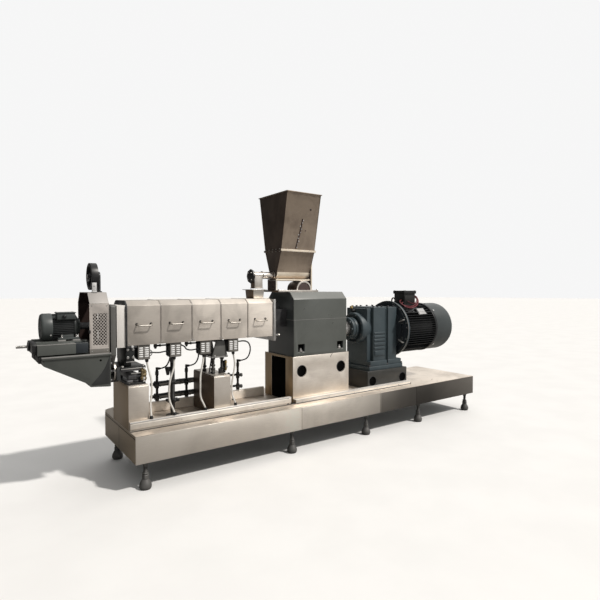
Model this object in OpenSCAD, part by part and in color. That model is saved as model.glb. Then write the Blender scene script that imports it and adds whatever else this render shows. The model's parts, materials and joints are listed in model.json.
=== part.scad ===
// Twin-screw food extruder on a stainless base, with feeder, heated barrel,
// distribution gearbox, reducer, main motor and die-face cutter.
// Inside the modules, x is measured from the base's left end, y from its
// front face and z from the floor; at_base() moves that to the part's frame.

/* [Base] */
// Length of the base along the machine
base_l = 3280; // [3200:10:3400]
// Width of the base
base_w = 710; // [690:5:740]
// Height of the base's underside above the floor
base_z0 = 167; // [150:1:180]
// Height of the base's top above the floor
base_z1 = 335; // [330:1:340]
// Widest diameter of a levelling foot
foot_d = 73; // [66:1:90]

/* [Barrel] */
// Distance of the screw axis behind the base's front face
axis_y = 310; // [305:1:315]
// Height of the screw axis
axis_z = 972; // [970:1:974]
// Where the first cover starts
cover_x0 = 6; // [4:1:10]
// Length of one cover
cover_l = 207; // [200:1:207]
// Pitch of the covers
cover_pitch = 209; // [208:1:210]
// Width of a cover
cover_w = 290; // [280:2:300]
// Sheet thickness of the covers
cover_t = 3; // [2:0.5:4]

/* [Supports] */
// Width of a pedestal along the machine
pedestal_w = 124; // [110:1:130]
// Depth of a pedestal across the machine
pedestal_d = 345; // [330:5:350]
// Height of the pedestal tops
pedestal_z = 606; // [600:1:610]

/* [Drive] */
// Height of the gearbox's input shaft and coupling
coupling_z = 850; // [840:1:860]
// Height of the main motor's shaft
motor_z = 826; // [820:1:835]
// Radius of the main motor's mounting flange
motor_flange_r = 256; // [250:1:260]
// Radius of the main motor's body over the fins
motor_r = 232; // [225:1:240]

/* [Feeder] */
// Height of the hopper's rim
hopper_z = 1918; // [1850:1:1950]
// Length of the hopper along the machine
hopper_l = 310; // [300:2:320]
// Depth of the hopper's rim across the machine
hopper_d = 394; // [380:2:410]
// Sheet thickness of the hopper
hopper_t = 3; // [2:0.5:4]

/* [Cutter] */
// Radius of the cutter motor
cutter_motor_r = 81; // [76:1:83]
// Diameter of the cutter shaft
cutter_shaft_d = 42; // [36:1:46]
// Radius swept by the knives
knife_r = 78; // [70:1:85]
// Radius of the handwheel
handwheel_r = 82; // [78:1:85]
// Width of the handwheel's rim
handwheel_w = 38; // [34:1:40]

/* [Hidden] */
$fn = 48;

// The part's frame: X along the machine with 0 halfway between the lead
// screw's end and the base's right end, Y across it, Z up from the floor.
lead_x0 = -566;
frame_dx = -(base_l + lead_x0) / 2;
module at_base() { translate([frame_dx, -base_w / 2, 0]) children(); }

// Colours
c_stainless = "#b9b1a5";
c_stainless_bright = "#d8d2c8";
c_grey = "#5f635f";
c_dark = "#2f3436";
c_black = "#17191b";
c_blue_grey = "#4d5b60";
c_white = "#e6e4df";
c_brown_steel = "#85786a";

// a box from its two corners
module bx(x0, x1, y0, y1, z0, z1) {
  translate([x0, y0, z0]) cube([x1 - x0, y1 - y0, z1 - z0]);
}
// a cylinder lying along X, from x0 to x1
module cx(x0, x1, y, z, r) {
  translate([x0, y, z]) rotate([0, 90, 0]) cylinder(h = x1 - x0, r = r);
}
// a cylinder lying along Y, from y0 to y1
module cy(x, y0, y1, z, r) {
  translate([x, y0, z]) rotate([-90, 0, 0]) cylinder(h = y1 - y0, r = r);
}
// an outline of (y, z) points carried along X
module along_x(x0, x1, pts) {
  translate([x0, 0, 0]) rotate([90, 0, 90]) linear_extrude(x1 - x0) polygon(pts);
}
// an outline of (x, z) points carried along Y
module along_y(y0, y1, pts) {
  translate([0, y1, 0]) rotate([90, 0, 0]) linear_extrude(y1 - y0) polygon(pts);
}

// Smooth tube through route points: Catmull-Rom points, one ring at each
function crp(p, i) = p[max(0, min(len(p) - 1, i))];
function cr(p, i, t) = let (a = crp(p, i - 1), b = crp(p, i), c = crp(p, i + 1), d = crp(p, i + 2))
  0.5 * ((2 * b) + (c - a) * t + (2 * a - 5 * b + 4 * c - d) * t * t + (3 * b - a - 3 * c + d) * t * t * t);
function route(p, n) = [for (i = [0 : len(p) - 2], k = [0 : n - 1]) cr(p, i, k / n), p[len(p) - 1]];
function unit(v) = v / norm(v);
module tube(pts, n, d, ref = [0.12, 1, 0.07], sides = 8) {
  q = route(pts, n);
  m = len(q);
  rings = [for (i = [0 : m - 1])
    let (t = i == 0 ? unit(pts[1] - pts[0]) : i == m - 1 ? unit(crp(pts, len(pts)) - pts[len(pts) - 2]) : unit(q[i + 1] - q[i - 1]),
      u = unit(cross(t, ref)), v = cross(t, u))
    for (k = [0 : sides - 1]) q[i] + d / 2 * (u * cos(360 * k / sides) + v * sin(360 * k / sides))];
  polyhedron(points = rings, faces = concat(
    [[for (k = [0 : sides - 1]) k]],
    [for (i = [0 : m - 2], k = [0 : sides - 1])
      [i * sides + k, (i + 1) * sides + k, (i + 1) * sides + (k + 1) % sides, i * sides + (k + 1) % sides]],
    [[for (k = [sides - 1 : -1 : 0]) (m - 1) * sides + k]]));
}

// ------------------------------------------------------------------ base
feet_x = [70, 1138, 1878, 2520, 3210];
module levelling_feet() { color(c_dark) at_base()
  for (x = feet_x, y = [46, 664]) translate([x, y, 0]) {
    // bell-shaped foot with its lock nut, the threaded rod and the boss in the base
    rotate_extrude() polygon([[0, 0], [31, 0], [foot_d / 2 - 2, 10], [foot_d / 2, 32], [21, 60], [0, 60]]);
    translate([0, 0, 60]) cylinder(h = 26, d = 42, $fn = 6);
    translate([0, 0, 86]) cylinder(h = base_z0 - 86, d = 24);
    translate([0, 0, 138]) cylinder(h = base_z0 - 138, d1 = 26, d2 = 38);
  }
}
module base_core() { color(c_grey) at_base()
  bx(6, base_l - 6, 6, base_w - 6, base_z0, base_z1 - 4);
}
seams_x = [0, 1195, 2000, 2447, base_l];
module base_side_panels() { color(c_stainless) at_base() {
  for (i = [0 : 3]) {
    bx(seams_x[i] + (i == 0 ? 0 : 1), seams_x[i + 1] - (i == 3 ? 0 : 1), 0, 5, base_z0, base_z1 - 5);
    bx(seams_x[i] + (i == 0 ? 0 : 1), seams_x[i + 1] - (i == 3 ? 0 : 1), base_w - 5, base_w, base_z0, base_z1 - 5);
  }
  bx(0, 5, 6, base_w - 6, base_z0, base_z1 - 5);
  bx(base_l - 5, base_l, 6, base_w - 6, base_z0, base_z1 - 5);
} }
module base_top_plate() { color(c_stainless_bright) at_base()
  bx(0, base_l, 0, base_w, base_z1 - 4, base_z1);
}
module front_cable_duct() { color(c_stainless_bright) at_base() {
  difference() {
    along_x(0, 1172, [[134, 335], [108, 335], [108, 344], [103, 350], [103, 378], [112, 392], [134, 392]]);
    along_x(1140, 1180, [[130, 339], [112, 339], [112, 346], [107, 352], [107, 377], [114, 388], [130, 388]]);
  }
  along_x(1212, 2480, [[134, 335], [98, 335], [98, 358], [104, 364], [134, 364]]);
} }
module rear_cable_duct() { color(c_stainless) at_base()
  along_x(0, 1172, [[492, 335], [492, 398], [498, 405], [520, 402], [704, 348], [704, 335]]);
}

// -------------------------------------------------------------- supports
module pedestal(x0) {
  bx(x0, x0 + pedestal_w, 136, 136 + pedestal_d, base_z1, pedestal_z - 8);
  bx(x0 + 2, x0 + pedestal_w - 2, 140, 132 + pedestal_d, pedestal_z - 8, pedestal_z);
}
module pedestal_left() { color(c_stainless) at_base() pedestal(0); }
module pedestal_middle() { color(c_stainless) at_base() pedestal(563); }

module support_bracket_left() { color(c_dark) at_base() {
  // foot plate, legs and the slab that carries the barrel's front end
  bx(8, 116, 170, 460, pedestal_z, pedestal_z + 12);
  for (x = [22, 84], y = [186, 416]) bx(x, x + 24, y, y + 30, pedestal_z + 12, 702);
  bx(-30, 120, 180, 455, 702, 716);
  bx(2, 48, 240, 384, 716, 750);
  bx(0, 50, 175, 385, 750, 846);
  bx(3, 26, 236, 384, 846, 897);
} }
module support_bracket_middle() { color(c_grey) at_base() {
  for (y = [198, 403]) along_y(y, y + 12, [[578, 722], [696, 722], [672, 838], [612, 838]]);
  bx(596, 680, 210, 403, 722, 736);
  bx(612, 672, 210, 403, 826, 838);
  bx(616, 668, 225, 395, 838, 897);
  for (x = [604, 672], y = [240, 380]) translate([x, y, pedestal_z]) cylinder(h = 116, d = 20);
} }
jack_x = 340;
module support_jack() { color(c_black) at_base()
  translate([jack_x, axis_y, base_z1]) {
    cylinder(h = 12, d = 90);
    cylinder(h = 906 - base_z1, d = 30);
    translate([0, 0, 101]) cylinder(h = 18, d = 46);
    for (a = [0 : 60 : 300]) rotate([0, 0, a + 30]) translate([34, 0, 102]) cylinder(h = 16, d = 24);
  }
}

// ---------------------------------------------------------------- barrel
module barrel() { color(c_grey) at_base()
  difference() {
    union() {
      bx(-63, 1218, axis_y - 78, axis_y + 78, axis_z - 66, axis_z + 66);
      for (i = [0 : 4]) let (x = cover_x0 + i * cover_pitch)
        bx(x - 22, x + 22, axis_y - 95, axis_y + 95, axis_z - 75, axis_z + 75);
    }
    // feed throat
    bx(948, 1012, axis_y - 40, axis_y + 40, axis_z, axis_z + 90);
  }
}
module barrel_flange() { color(c_stainless_bright) at_base() {
  difference() {
    bx(1056, 1076, 165, 455, 812, 1118);
    bx(1050, 1080, axis_y - 78, axis_y + 78, axis_z - 66, axis_z + 66);
  }
  cx(1076, 1112, 190, 850, 12);
} }
module cover_outline(o) {
  // (y, z) outline of a cover, moved in by o
  w = cover_w / 2 - o;
  polygon([[-w, 848], [-w, 1092 - o * 0.4], [-w + 40, 1122 - o], [w - 40, 1122 - o], [w, 1092 - o * 0.4], [w, 848]]);
}
module barrel_cover(i) {
  x = cover_x0 + i * cover_pitch;
  difference() {
    translate([x, axis_y, 0]) rotate([90, 0, 90]) linear_extrude(cover_l) cover_outline(0);
    difference() {
      translate([x - 1, axis_y, 0]) rotate([90, 0, 90]) linear_extrude(cover_l + 2)
        translate([0, -1]) cover_outline(cover_t);
    }
    if (i == 4) bx(932, 1028, axis_y - 60, axis_y + 62, 1090, 1130);
  }
}
module barrel_covers() { color(c_stainless) at_base() for (i = [0 : 4]) barrel_cover(i); }
module cover_handle(x) {
  y = axis_y - cover_w / 2;
  for (dx = [-44, 44]) cy(x + dx, y - 34, y, 978, 4.5);
  cx(x - 48.5, x + 48.5, y - 34, 978, 4.5);
}
module cover_handles() { color(c_stainless_bright) at_base()
  for (i = [0 : 4]) cover_handle(cover_x0 + i * cover_pitch + 100);
}
module cover_end_plate() { color(c_white) at_base() {
  // closes the first cover round the barrel
  difference() {
    along_x(-2, 3, [[172, 850], [172, 1090], [208, 1117], [412, 1117], [448, 1090], [448, 850]]);
    bx(-4, 5, axis_y - 96, axis_y + 96, axis_z - 76, axis_z + 76);
  }
  // pale box between it and the mounting plate, open towards the plate
  difference() {
    bx(-52, -2, 180, 440, 838, 1095);
    bx(-54, 0, 184, 436, 842, 1091);
  }
} }
box_x = [71, 275, 483, 693];
module terminal_boxes() { color(c_grey) at_base()
  for (x = box_x) {
    bx(x, x + 74, 172, 238, 757, 846);
    bx(x + 20, x + 54, 184, 228, 846, 900);
  }
}

// White conduits from each terminal box to the duct's top
conduits = [
  [[133, 200, 757], [133, 200, 735], [139, 190, 695], [149, 176, 640], [151, 162, 560], [137, 146, 470], [134, 123, 415], [134, 123, 392]],
  [[310, 200, 757], [310, 200, 735], [304, 188, 690], [276, 172, 620], [262, 164, 540], [264, 150, 470], [283, 123, 415], [283, 123, 392]],
  [[518, 200, 757], [518, 200, 735], [504, 188, 690], [484, 176, 620], [476, 164, 540], [476, 150, 465], [494, 123, 415], [494, 123, 392]],
  [[740, 200, 757], [740, 200, 735], [746, 188, 680], [728, 174, 600], [710, 164, 520], [708, 148, 455], [717, 123, 415], [717, 123, 392]]];
module cable_conduits() { color(c_white) at_base()
  for (c = conduits) tube(c, 2, 15);
}
manifold_x0 = 262;
manifold_x1 = 880;
manifold_y = 530;
manifold_zs = [432, 520];
module water_manifolds() { color(c_dark) at_base()
  for (z = manifold_zs) {
    cx(manifold_x0 + 28, manifold_x1, manifold_y, z, 19);
    cx(manifold_x0, manifold_x0 + 28, manifold_y, z, 12);
    cx(manifold_x1, manifold_x1 + 84, manifold_y, z, 9);
    // bracket to the back of the middle pedestal
    bx(610, 640, 481, manifold_y, z - 24, z + 24);
  }
}
riser_x = [299, 516, 937];
riser_y = 500;
module water_risers() { color(c_black) at_base()
  difference() {
    for (i = [0 : 2]) let (x = riser_x[i], s = i == 2 ? 1 : -1) {
      translate([x, riser_y, 410]) cylinder(h = 234, d = 18);
      translate([x, riser_y, 590]) cylinder(h = 26, d = 26, $fn = 6);
      // elbow to the hose
      cx(x, x + 10, riser_y, 634, 8);
      // branches to the two manifolds, with their valves
      for (z = manifold_zs) {
        cy(x, riser_y, manifold_y, z, 8);
        translate([x, riser_y, z - 13]) cylinder(h = 26, d = 30);
        if (i == 2) cx(x + 10, x + 34, riser_y, z, 11);
      }
    }
    for (z = manifold_zs) {
      cx(manifold_x0, manifold_x1 + 10, manifold_y, z, 19.1);
      cx(manifold_x1, manifold_x1 + 100, manifold_y, z, 9.1);
    }
  }
}
// Black hoses: links between the boxes, one down to the middle pedestal, and
// one from each riser up to the barrel or to the last box
hoses = [
  [[145, 205, 792], [170, 205, 792], [210, 205, 788], [250, 205, 792], [275, 205, 792]],
  [[145, 222, 808], [156, 222, 808], [169, 222, 801], [174, 222, 788], [169, 222, 775], [156, 222, 768], [145, 222, 768]],
  [[349, 205, 826], [362, 205, 826], [382, 204, 815], [398, 204, 796], [428, 205, 788], [462, 205, 790], [483, 205, 790]],
  [[557, 224, 806], [568, 224, 806], [581, 224, 796], [584, 225, 776], [576, 227, 745], [569, 230, 708], [572, 236, 660], [578, 240, 626], [578, 240, 606]]];
riser_hoses = [
  [[309, 500, 634], [322, 500, 634], [337, 482, 640], [347, 450, 662], [350, 415, 700], [352, 388, 750], [356, 376, 810], [360, 375, 870], [360, 375, 906]],
  [[526, 500, 634], [538, 500, 634], [550, 480, 640], [556, 450, 662], [556, 412, 705], [556, 388, 755], [558, 376, 812], [560, 375, 870], [560, 375, 906]],
  [[767, 205, 822], [786, 205, 822], [836, 226, 820], [884, 256, 808], [932, 306, 776], [962, 356, 728], [973, 404, 686], [972, 460, 648], [973, 490, 638], [960, 500, 634], [947, 500, 634]]];
module water_hoses() { color(c_black) at_base() {
  for (h = hoses) tube(h, 2, h == hoses[1] ? 6 : 9);
  for (i = [0 : 2]) tube(riser_hoses[i], 2, 10, [1, 0, 0.05]);
} }

// --------------------------------------------------------------- gearbox
module gearbox_plinth() { color(c_stainless) at_base()
  difference() {
    bx(1209, 1767, 136, 536, base_z1, 680);
    // open left side, between its two posts
    bx(1200, 1751, 236, 436, base_z1 - 1, 662);
    bx(1229, 1747, 142, 530, base_z1 - 1, 662);
    // access holes in the front
    for (x = [1292, 1683]) cy(x, 130, 150, 568, 42);
  }
}
module distribution_gearbox() { color(c_grey) at_base()
  difference() {
    along_x(1218, 1744, [[138, 680], [138, 1115], [190, 1170], [448, 1170], [500, 1115], [500, 680]]);
    // pockets for the hold-down bolts
    for (x = [1260, 1646], y = [130, 480]) bx(x, x + 61, y, y + 30, 712, 772);
  }
}
module drive_coupling() { color(c_dark) at_base() {
  cx(1744, 1892, axis_y, coupling_z, 70);
  cx(1892, 1962, axis_y, coupling_z, 96);
} }
module reducer_plinth() { color(c_grey) at_base()
  difference() {
    bx(1983, 2467, 136, 500, base_z1, 488);
    for (x = [2042, 2411]) cy(x, 130, 160, 402, 40);
  }
}
module reducer() { color(c_blue_grey) at_base() {
  // foot, housing, output boss and the stepped cover over the gears
  bx(2017, 2430, 150, 486, 488, 568);
  along_x(2073, 2359, [[160, 568], [160, 1012], [182, 1034], [448, 1034], [470, 1012], [470, 568]]);
  cx(1962, 2073, axis_y, coupling_z, 136);
  bx(2020, 2073, 190, 446, 568, 1024);
  cx(2359, 2376, axis_y, motor_z, 200);
} }
module motor_flange() { color(c_dark) at_base() {
  cx(2376, 2400, axis_y, motor_z, 214);
  cx(2400, 2421, axis_y, motor_z, motor_flange_r);
} }
module main_motor() { color(c_black) at_base() {
  cx(2421, 2838, axis_y, motor_z, motor_r - 16);
  cx(2421, 2448, axis_y, motor_z, motor_r);
  cx(2806, 2838, axis_y, motor_z, motor_r);
  for (a = [0 : 15 : 345]) translate([0, axis_y, motor_z]) rotate([a, 0, 0])
    bx(2448, 2806, -3, 3, motor_r - 40, motor_r - 1);
} }
module motor_terminal_box() { color(c_black) at_base()
  difference() {
    union() {
      bx(2548, 2702, 242, 366, 1036, 1150);
      bx(2540, 2710, 234, 374, 1150, 1176);
    }
    cx(2500, 2750, axis_y, motor_z, motor_r + 0.4);
  }
}
module motor_fan_cover() { color(c_grey) at_base() {
  cx(2838, 3060, axis_y, motor_z, 226);
  cx(3060, 3086, axis_y, motor_z, 204);
} }

// ---------------------------------------------------------------- feeder
hop_x0 = 1146;
hop_yt = axis_y - hopper_d / 2;
module hopper_shell(z0, d0, z1, d1, l, t) {
  translate([hop_x0, axis_y, 0]) difference() {
    rotate([90, 0, 90]) linear_extrude(l)
      polygon([[-d0 / 2, z0], [d0 / 2, z0], [d1 / 2, z1], [-d1 / 2, z1]]);
    translate([t, 0, 0]) rotate([90, 0, 90]) linear_extrude(l - 2 * t)
      polygon([[-d0 / 2 + t, z0 - 1], [d0 / 2 - t, z0 - 1], [d1 / 2 - t, z1 + 1], [-d1 / 2 + t, z1 + 1]]);
  }
}
module ring_flange(x0, x1, y0, y1, z0, z1, w) {
  difference() {
    bx(x0, x1, y0, y1, z0, z1);
    bx(x0 + w, x1 - w, y0 + w, y1 - w, z0 - 1, z1 + 1);
  }
}
module hopper_upper() { color(c_brown_steel) at_base() {
  hopper_shell(1486, 228, hopper_z, hopper_d, hopper_l, hopper_t);
  ring_flange(hop_x0 - 8, hop_x0 + hopper_l + 8, axis_y - 122, axis_y + 122, 1486, 1492, 11);
  ring_flange(hop_x0 - 8, hop_x0 + hopper_l + 8, axis_y - hopper_d / 2 - 8, axis_y + hopper_d / 2 + 8, hopper_z - 6, hopper_z, 11);
} }
module hopper_lower() { color(c_brown_steel) at_base() {
  ring_flange(hop_x0 - 8, hop_x0 + hopper_l + 8, axis_y - 122, axis_y + 122, 1480, 1486, 11);
  hopper_shell(1322, 108, 1480, 226, hopper_l, hopper_t);
  // round-bottomed trough of the feeding screw, on its flange
  difference() {
    union() {
      cx(hop_x0, hop_x0 + hopper_l, axis_y, 1322, 54);
      bx(hop_x0 - 14, hop_x0 + hopper_l, axis_y - 60, axis_y + 60, 1258, 1269);
    }
    bx(hop_x0 + 3, hop_x0 + hopper_l - 3, axis_y - 51, axis_y + 51, 1322, 1400);
    cx(hop_x0 + 3, hop_x0 + hopper_l - 3, axis_y, 1322, 50);
  }
} }
module feeder_tube() { color(c_stainless_bright) at_base() {
  cx(958, hop_x0, axis_y, 1296, 26);
  cx(940, 958, axis_y, 1288, 54);
  difference() {
    bx(964, 1032, axis_y - 30, axis_y + 30, 1197, 1290);
    bx(968, 1028, axis_y - 26, axis_y + 26, 1190, 1262);
  }
} }
module feeder_stand() { color(c_stainless) at_base() {
  bx(1120, 1497, 196, 424, 1170, 1184);
  bx(1132, 1145, 250, 370, 1184, 1258);
  bx(1456, 1466, 240, 380, 1184, 1480);
  difference() {
    cy(1388, 244, 376, 1190, 67);
    bx(1300, 1480, 230, 390, 1100, 1184);
  }
} }
module inlet_funnel() { color(c_stainless_bright) at_base()
  difference() {
    union() {
      // throat down to the barrel, and the cup over it
      bx(942, 1018, axis_y - 48, axis_y + 48, axis_z + 66, 1124);
      hull() {
        bx(940, 1022, axis_y - 55, axis_y + 57, 1123, 1124);
        bx(935, 1027, axis_y - 60, axis_y + 62, 1185, 1186);
      }
      bx(918, 1044, axis_y - 75, axis_y + 76, 1186, 1190);
    }
    bx(945, 1015, axis_y - 45, axis_y + 45, axis_z + 60, 1130);
    hull() {
      bx(943, 1019, axis_y - 52, axis_y + 54, 1126, 1127);
      bx(938, 1024, axis_y - 57, axis_y + 59, 1190, 1192);
    }
  }
}

// ---------------------------------------------------------------- cutter
module cutter_arm() { color(c_grey) at_base() {
  // table, and the tapering box bracket under it
  bx(-458, -96, 141, 476, 803, 819);
  along_y(150, 470, [[-448, 803], [-448, 768], [-226, 648], [-208, 626], [-110, 618], [-110, 803]]);
  bx(-110, -96, 150, 470, 618, 803);
  // slide way for the carriage
  bx(-452, -226, 226, 394, 819, 840);
} }
module cutter_pivot() { color(c_dark) at_base() {
  cx(-96, -30, 262, 652, 32);
  cx(-63, -50, 262, 690, 60);
  for (y = [224, 356]) cx(-50, -30, y, 700, 11);
  bx(-52, -30, 190, 400, 640, 716);
} }
module mounting_plate() { color(c_grey) at_base() {
  along_x(-94, -63, [[152, 800], [250, 690], [444, 690], [468, 740], [468, 1088], [456, 1100], [164, 1100], [152, 1088]]);
  // die
  cx(-104, -94, axis_y, axis_z, 84);
} }
module guard_outline(o) {
  polygon([[-165 + o, 819], [-165 + o, 1110 - o * 0.4], [-112 + o * 0.6, 1175 - o], [112 - o * 0.6, 1175 - o], [165 - o, 1110 - o * 0.4], [165 - o, 819]]);
}
module cutter_guard() { color(c_stainless) at_base()
  translate([0, axis_y, 0]) difference() {
    union() {
      translate([-211, 0, 0]) rotate([90, 0, 90]) linear_extrude(106) guard_outline(0);
      bx(-211, -105, -165, 165, 819, 822);
    }
    translate([-212, 0, 0]) rotate([90, 0, 90]) linear_extrude(108) translate([0, -1]) guard_outline(3);
  }
}
module handwheel_bracket() { color(c_dark) at_base() {
  // carrying plate behind the wheel, its axle, and the lock post in front
  bx(-128, -118, 280, 340, 1175, 1300);
  cx(-186, -128, axis_y, 1270, 8);
  bx(-184, -160, 196, 210, 1175, 1232);
} }
module handwheel() { color(c_black) at_base() {
  difference() {
    cx(-178, -178 + handwheel_w, axis_y, 1270, handwheel_r);
    cx(-179, -178 + handwheel_w + 1, axis_y, 1270, handwheel_r - 20);
  }
  difference() {
    union() {
      cx(-176, -144, axis_y, 1270, 22);
      for (a = [0 : 120 : 240]) translate([0, axis_y, 1270]) rotate([a, 0, 0]) bx(-168, -152, -7, 7, 16, handwheel_r - 14);
    }
    cx(-180, -140, axis_y, 1270, 8.05);
  }
} }
module cutter_carriage() { color(c_grey) at_base() {
  // body with a valley under the motor, and the pads for its feet
  bx(-478, -218, 150, 470, 841, 887);
  for (y = [150, 460]) bx(-478, -218, y, y + 10, 827, 841);
  for (y = [196, 378]) bx(-478, -218, y, y + 46, 887, 897);
  for (x = [-366, -290], y = [200, 390]) bx(x, x + 34, y, y + 30, 897, 905);
} }
module lead_screw() { color(c_stainless_bright) at_base() {
  cx(lead_x0, -478, 300, 868, 8.5);
  cx(-486, -478, 300, 868, 20);
} }
module cutter_motor() { color(c_dark) at_base() {
  cx(-446, -387, axis_y, axis_z, cutter_motor_r);
  cx(-387, -262, axis_y, axis_z, cutter_motor_r - 3);
  difference() {
    translate([-262, axis_y, axis_z]) rotate([0, 90, 0]) cylinder(h = 24, r1 = cutter_motor_r - 6, r2 = 46);
    cx(-259, -230, axis_y, axis_z, cutter_shaft_d / 2 + 0.06);
  }
  bx(-368, -270, 226, 300, 1020, 1060);
  for (y = [200, 390]) bx(-366, -256, y, y + 30, 905, 916);
  for (y = [226, 368]) bx(-366, -256, y, y + 26, 905, 948);
} }
module cutter_spindle() { color(c_stainless_bright) at_base() {
  cx(-258, -124, axis_y, axis_z, cutter_shaft_d / 2);
  cx(-150, -124, axis_y, axis_z, 32);
  for (a = [0 : 90 : 270]) translate([0, axis_y, axis_z]) rotate([a, 0, 0]) bx(-122, -111, -12, 12, 20, knife_r);
  cx(-124, -111, axis_y, axis_z, 26);
} }

levelling_feet();
base_core();
base_side_panels();
base_top_plate();
front_cable_duct();
rear_cable_duct();
pedestal_left();
pedestal_middle();
support_bracket_left();
support_bracket_middle();
support_jack();
barrel();
barrel_flange();
barrel_covers();
cover_handles();
cover_end_plate();
terminal_boxes();
cable_conduits();
water_manifolds();
water_risers();
water_hoses();
gearbox_plinth();
distribution_gearbox();
drive_coupling();
reducer();
reducer_plinth();
motor_flange();
main_motor();
motor_terminal_box();
motor_fan_cover();
hopper_upper();
hopper_lower();
feeder_tube();
feeder_stand();
inlet_funnel();
cutter_arm();
cutter_pivot();
mounting_plate();
cutter_guard();
handwheel_bracket();
handwheel();
cutter_carriage();
lead_screw();
cutter_motor();
cutter_spindle();
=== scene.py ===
import json
import math
import random

import bmesh
import bpy
from mathutils import Matrix, Vector

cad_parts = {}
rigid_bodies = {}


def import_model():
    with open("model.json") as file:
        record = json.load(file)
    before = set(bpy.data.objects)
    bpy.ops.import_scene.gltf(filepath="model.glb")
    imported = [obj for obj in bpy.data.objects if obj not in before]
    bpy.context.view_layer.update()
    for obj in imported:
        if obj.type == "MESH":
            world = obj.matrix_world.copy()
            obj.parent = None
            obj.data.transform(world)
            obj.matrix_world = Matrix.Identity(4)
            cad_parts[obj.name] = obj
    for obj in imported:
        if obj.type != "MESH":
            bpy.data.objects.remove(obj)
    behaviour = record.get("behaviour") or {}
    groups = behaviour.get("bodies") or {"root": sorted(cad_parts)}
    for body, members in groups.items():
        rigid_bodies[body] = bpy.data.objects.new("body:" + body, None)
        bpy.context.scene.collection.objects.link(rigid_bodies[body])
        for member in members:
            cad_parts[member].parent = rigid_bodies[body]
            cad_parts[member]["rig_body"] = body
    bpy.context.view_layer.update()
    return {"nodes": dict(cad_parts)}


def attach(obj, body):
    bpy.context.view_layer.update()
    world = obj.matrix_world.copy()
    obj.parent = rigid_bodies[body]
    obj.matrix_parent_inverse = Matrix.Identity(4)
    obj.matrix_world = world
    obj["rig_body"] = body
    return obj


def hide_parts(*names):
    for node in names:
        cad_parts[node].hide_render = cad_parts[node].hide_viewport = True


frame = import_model()
NODES = frame["nodes"]
BODY = {n: o["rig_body"] for n, o in NODES.items()}
random.seed(7)

# Millimetres from the base's left end, its front face and the floor, to the frame.
OX, OY = 1.357, 0.355


def P(x, y, z):
    return Vector((x / 1000 - OX, y / 1000 - OY, z / 1000))


# ---------------------------------------------------------------- camera
cam_data = bpy.data.cameras.new("camera")
cam_data.sensor_width = 36.0
cam_data.lens = 28.334
cam_data.clip_end = 200.0
cam = bpy.data.objects.new("camera", cam_data)
cam.location = (-2.1725, -3.1204, 1.2)
cam.rotation_euler = (math.radians(90 - 1.448), 0.0, math.radians(-35.77))
bpy.context.scene.collection.objects.link(cam)
bpy.context.scene.camera = cam


# ------------------------------------------------------------- materials
def tree(name):
    m = bpy.data.materials.new(name)
    m.use_nodes = True
    nt = m.node_tree
    for n in list(nt.nodes):
        nt.nodes.remove(n)
    out = nt.nodes.new("ShaderNodeOutputMaterial")
    b = nt.nodes.new("ShaderNodeBsdfPrincipled")
    nt.links.new(b.outputs[0], out.inputs[0])
    return m, nt, b


def coords(nt, scale=(1, 1, 1), rot=(0, 0, 0)):
    t = nt.nodes.new("ShaderNodeTexCoord")
    mp = nt.nodes.new("ShaderNodeMapping")
    mp.inputs["Scale"].default_value = scale
    mp.inputs["Rotation"].default_value = rot
    nt.links.new(t.outputs["Object"], mp.inputs["Vector"])
    return mp.outputs["Vector"]


def noise(nt, vec, scale, detail=4.0, rough=0.55, distort=0.0):
    n = nt.nodes.new("ShaderNodeTexNoise")
    n.inputs["Scale"].default_value = scale
    n.inputs["Detail"].default_value = detail
    n.inputs["Roughness"].default_value = rough
    n.inputs["Distortion"].default_value = distort
    nt.links.new(vec, n.inputs["Vector"])
    return n.outputs["Fac"]


def ramp(nt, fac, stops, interp="EASE"):
    r = nt.nodes.new("ShaderNodeValToRGB")
    r.color_ramp.interpolation = interp
    e = r.color_ramp.elements
    while len(e) < len(stops):
        e.new(0.5)
    for k, (p, c) in enumerate(stops):
        e[k].position = p
        e[k].color = (c[0], c[1], c[2], 1) if hasattr(c, "__len__") else (c, c, c, 1)
    nt.links.new(fac, r.inputs["Fac"])
    return r.outputs["Color"]


def mix(nt, fac, a, b, mode="MIX"):
    m = nt.nodes.new("ShaderNodeMix")
    m.data_type = "RGBA"
    m.blend_type = mode
    for sock, val in ((m.inputs[0], fac), (m.inputs[6], a), (m.inputs[7], b)):
        if isinstance(val, bpy.types.NodeSocket):
            nt.links.new(val, sock)
        elif hasattr(val, "__len__"):
            sock.default_value = (val[0], val[1], val[2], 1)
        else:
            sock.default_value = val
    return m.outputs[2]


def math_node(nt, op, a, b=0.5, clamp=False):
    m = nt.nodes.new("ShaderNodeMath")
    m.operation = op
    m.use_clamp = clamp
    for sock, val in ((m.inputs[0], a), (m.inputs[1], b)):
        if isinstance(val, bpy.types.NodeSocket):
            nt.links.new(val, sock)
        else:
            sock.default_value = val
    return m.outputs[0]


def rough_range(nt, fac, lo, hi):
    r = nt.nodes.new("ShaderNodeMapRange")
    r.inputs["From Min"].default_value = 0.3
    r.inputs["From Max"].default_value = 0.7
    r.inputs["To Min"].default_value = lo
    r.inputs["To Max"].default_value = hi
    nt.links.new(fac, r.inputs["Value"])
    return r.outputs["Result"]


def bump(nt, height, strength, dist=0.001, normal=None):
    b = nt.nodes.new("ShaderNodeBump")
    b.inputs["Strength"].default_value = strength
    b.inputs["Distance"].default_value = dist
    nt.links.new(height, b.inputs["Height"])
    if normal is not None:
        nt.links.new(normal, b.inputs["Normal"])
    return b.outputs["Normal"]


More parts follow.
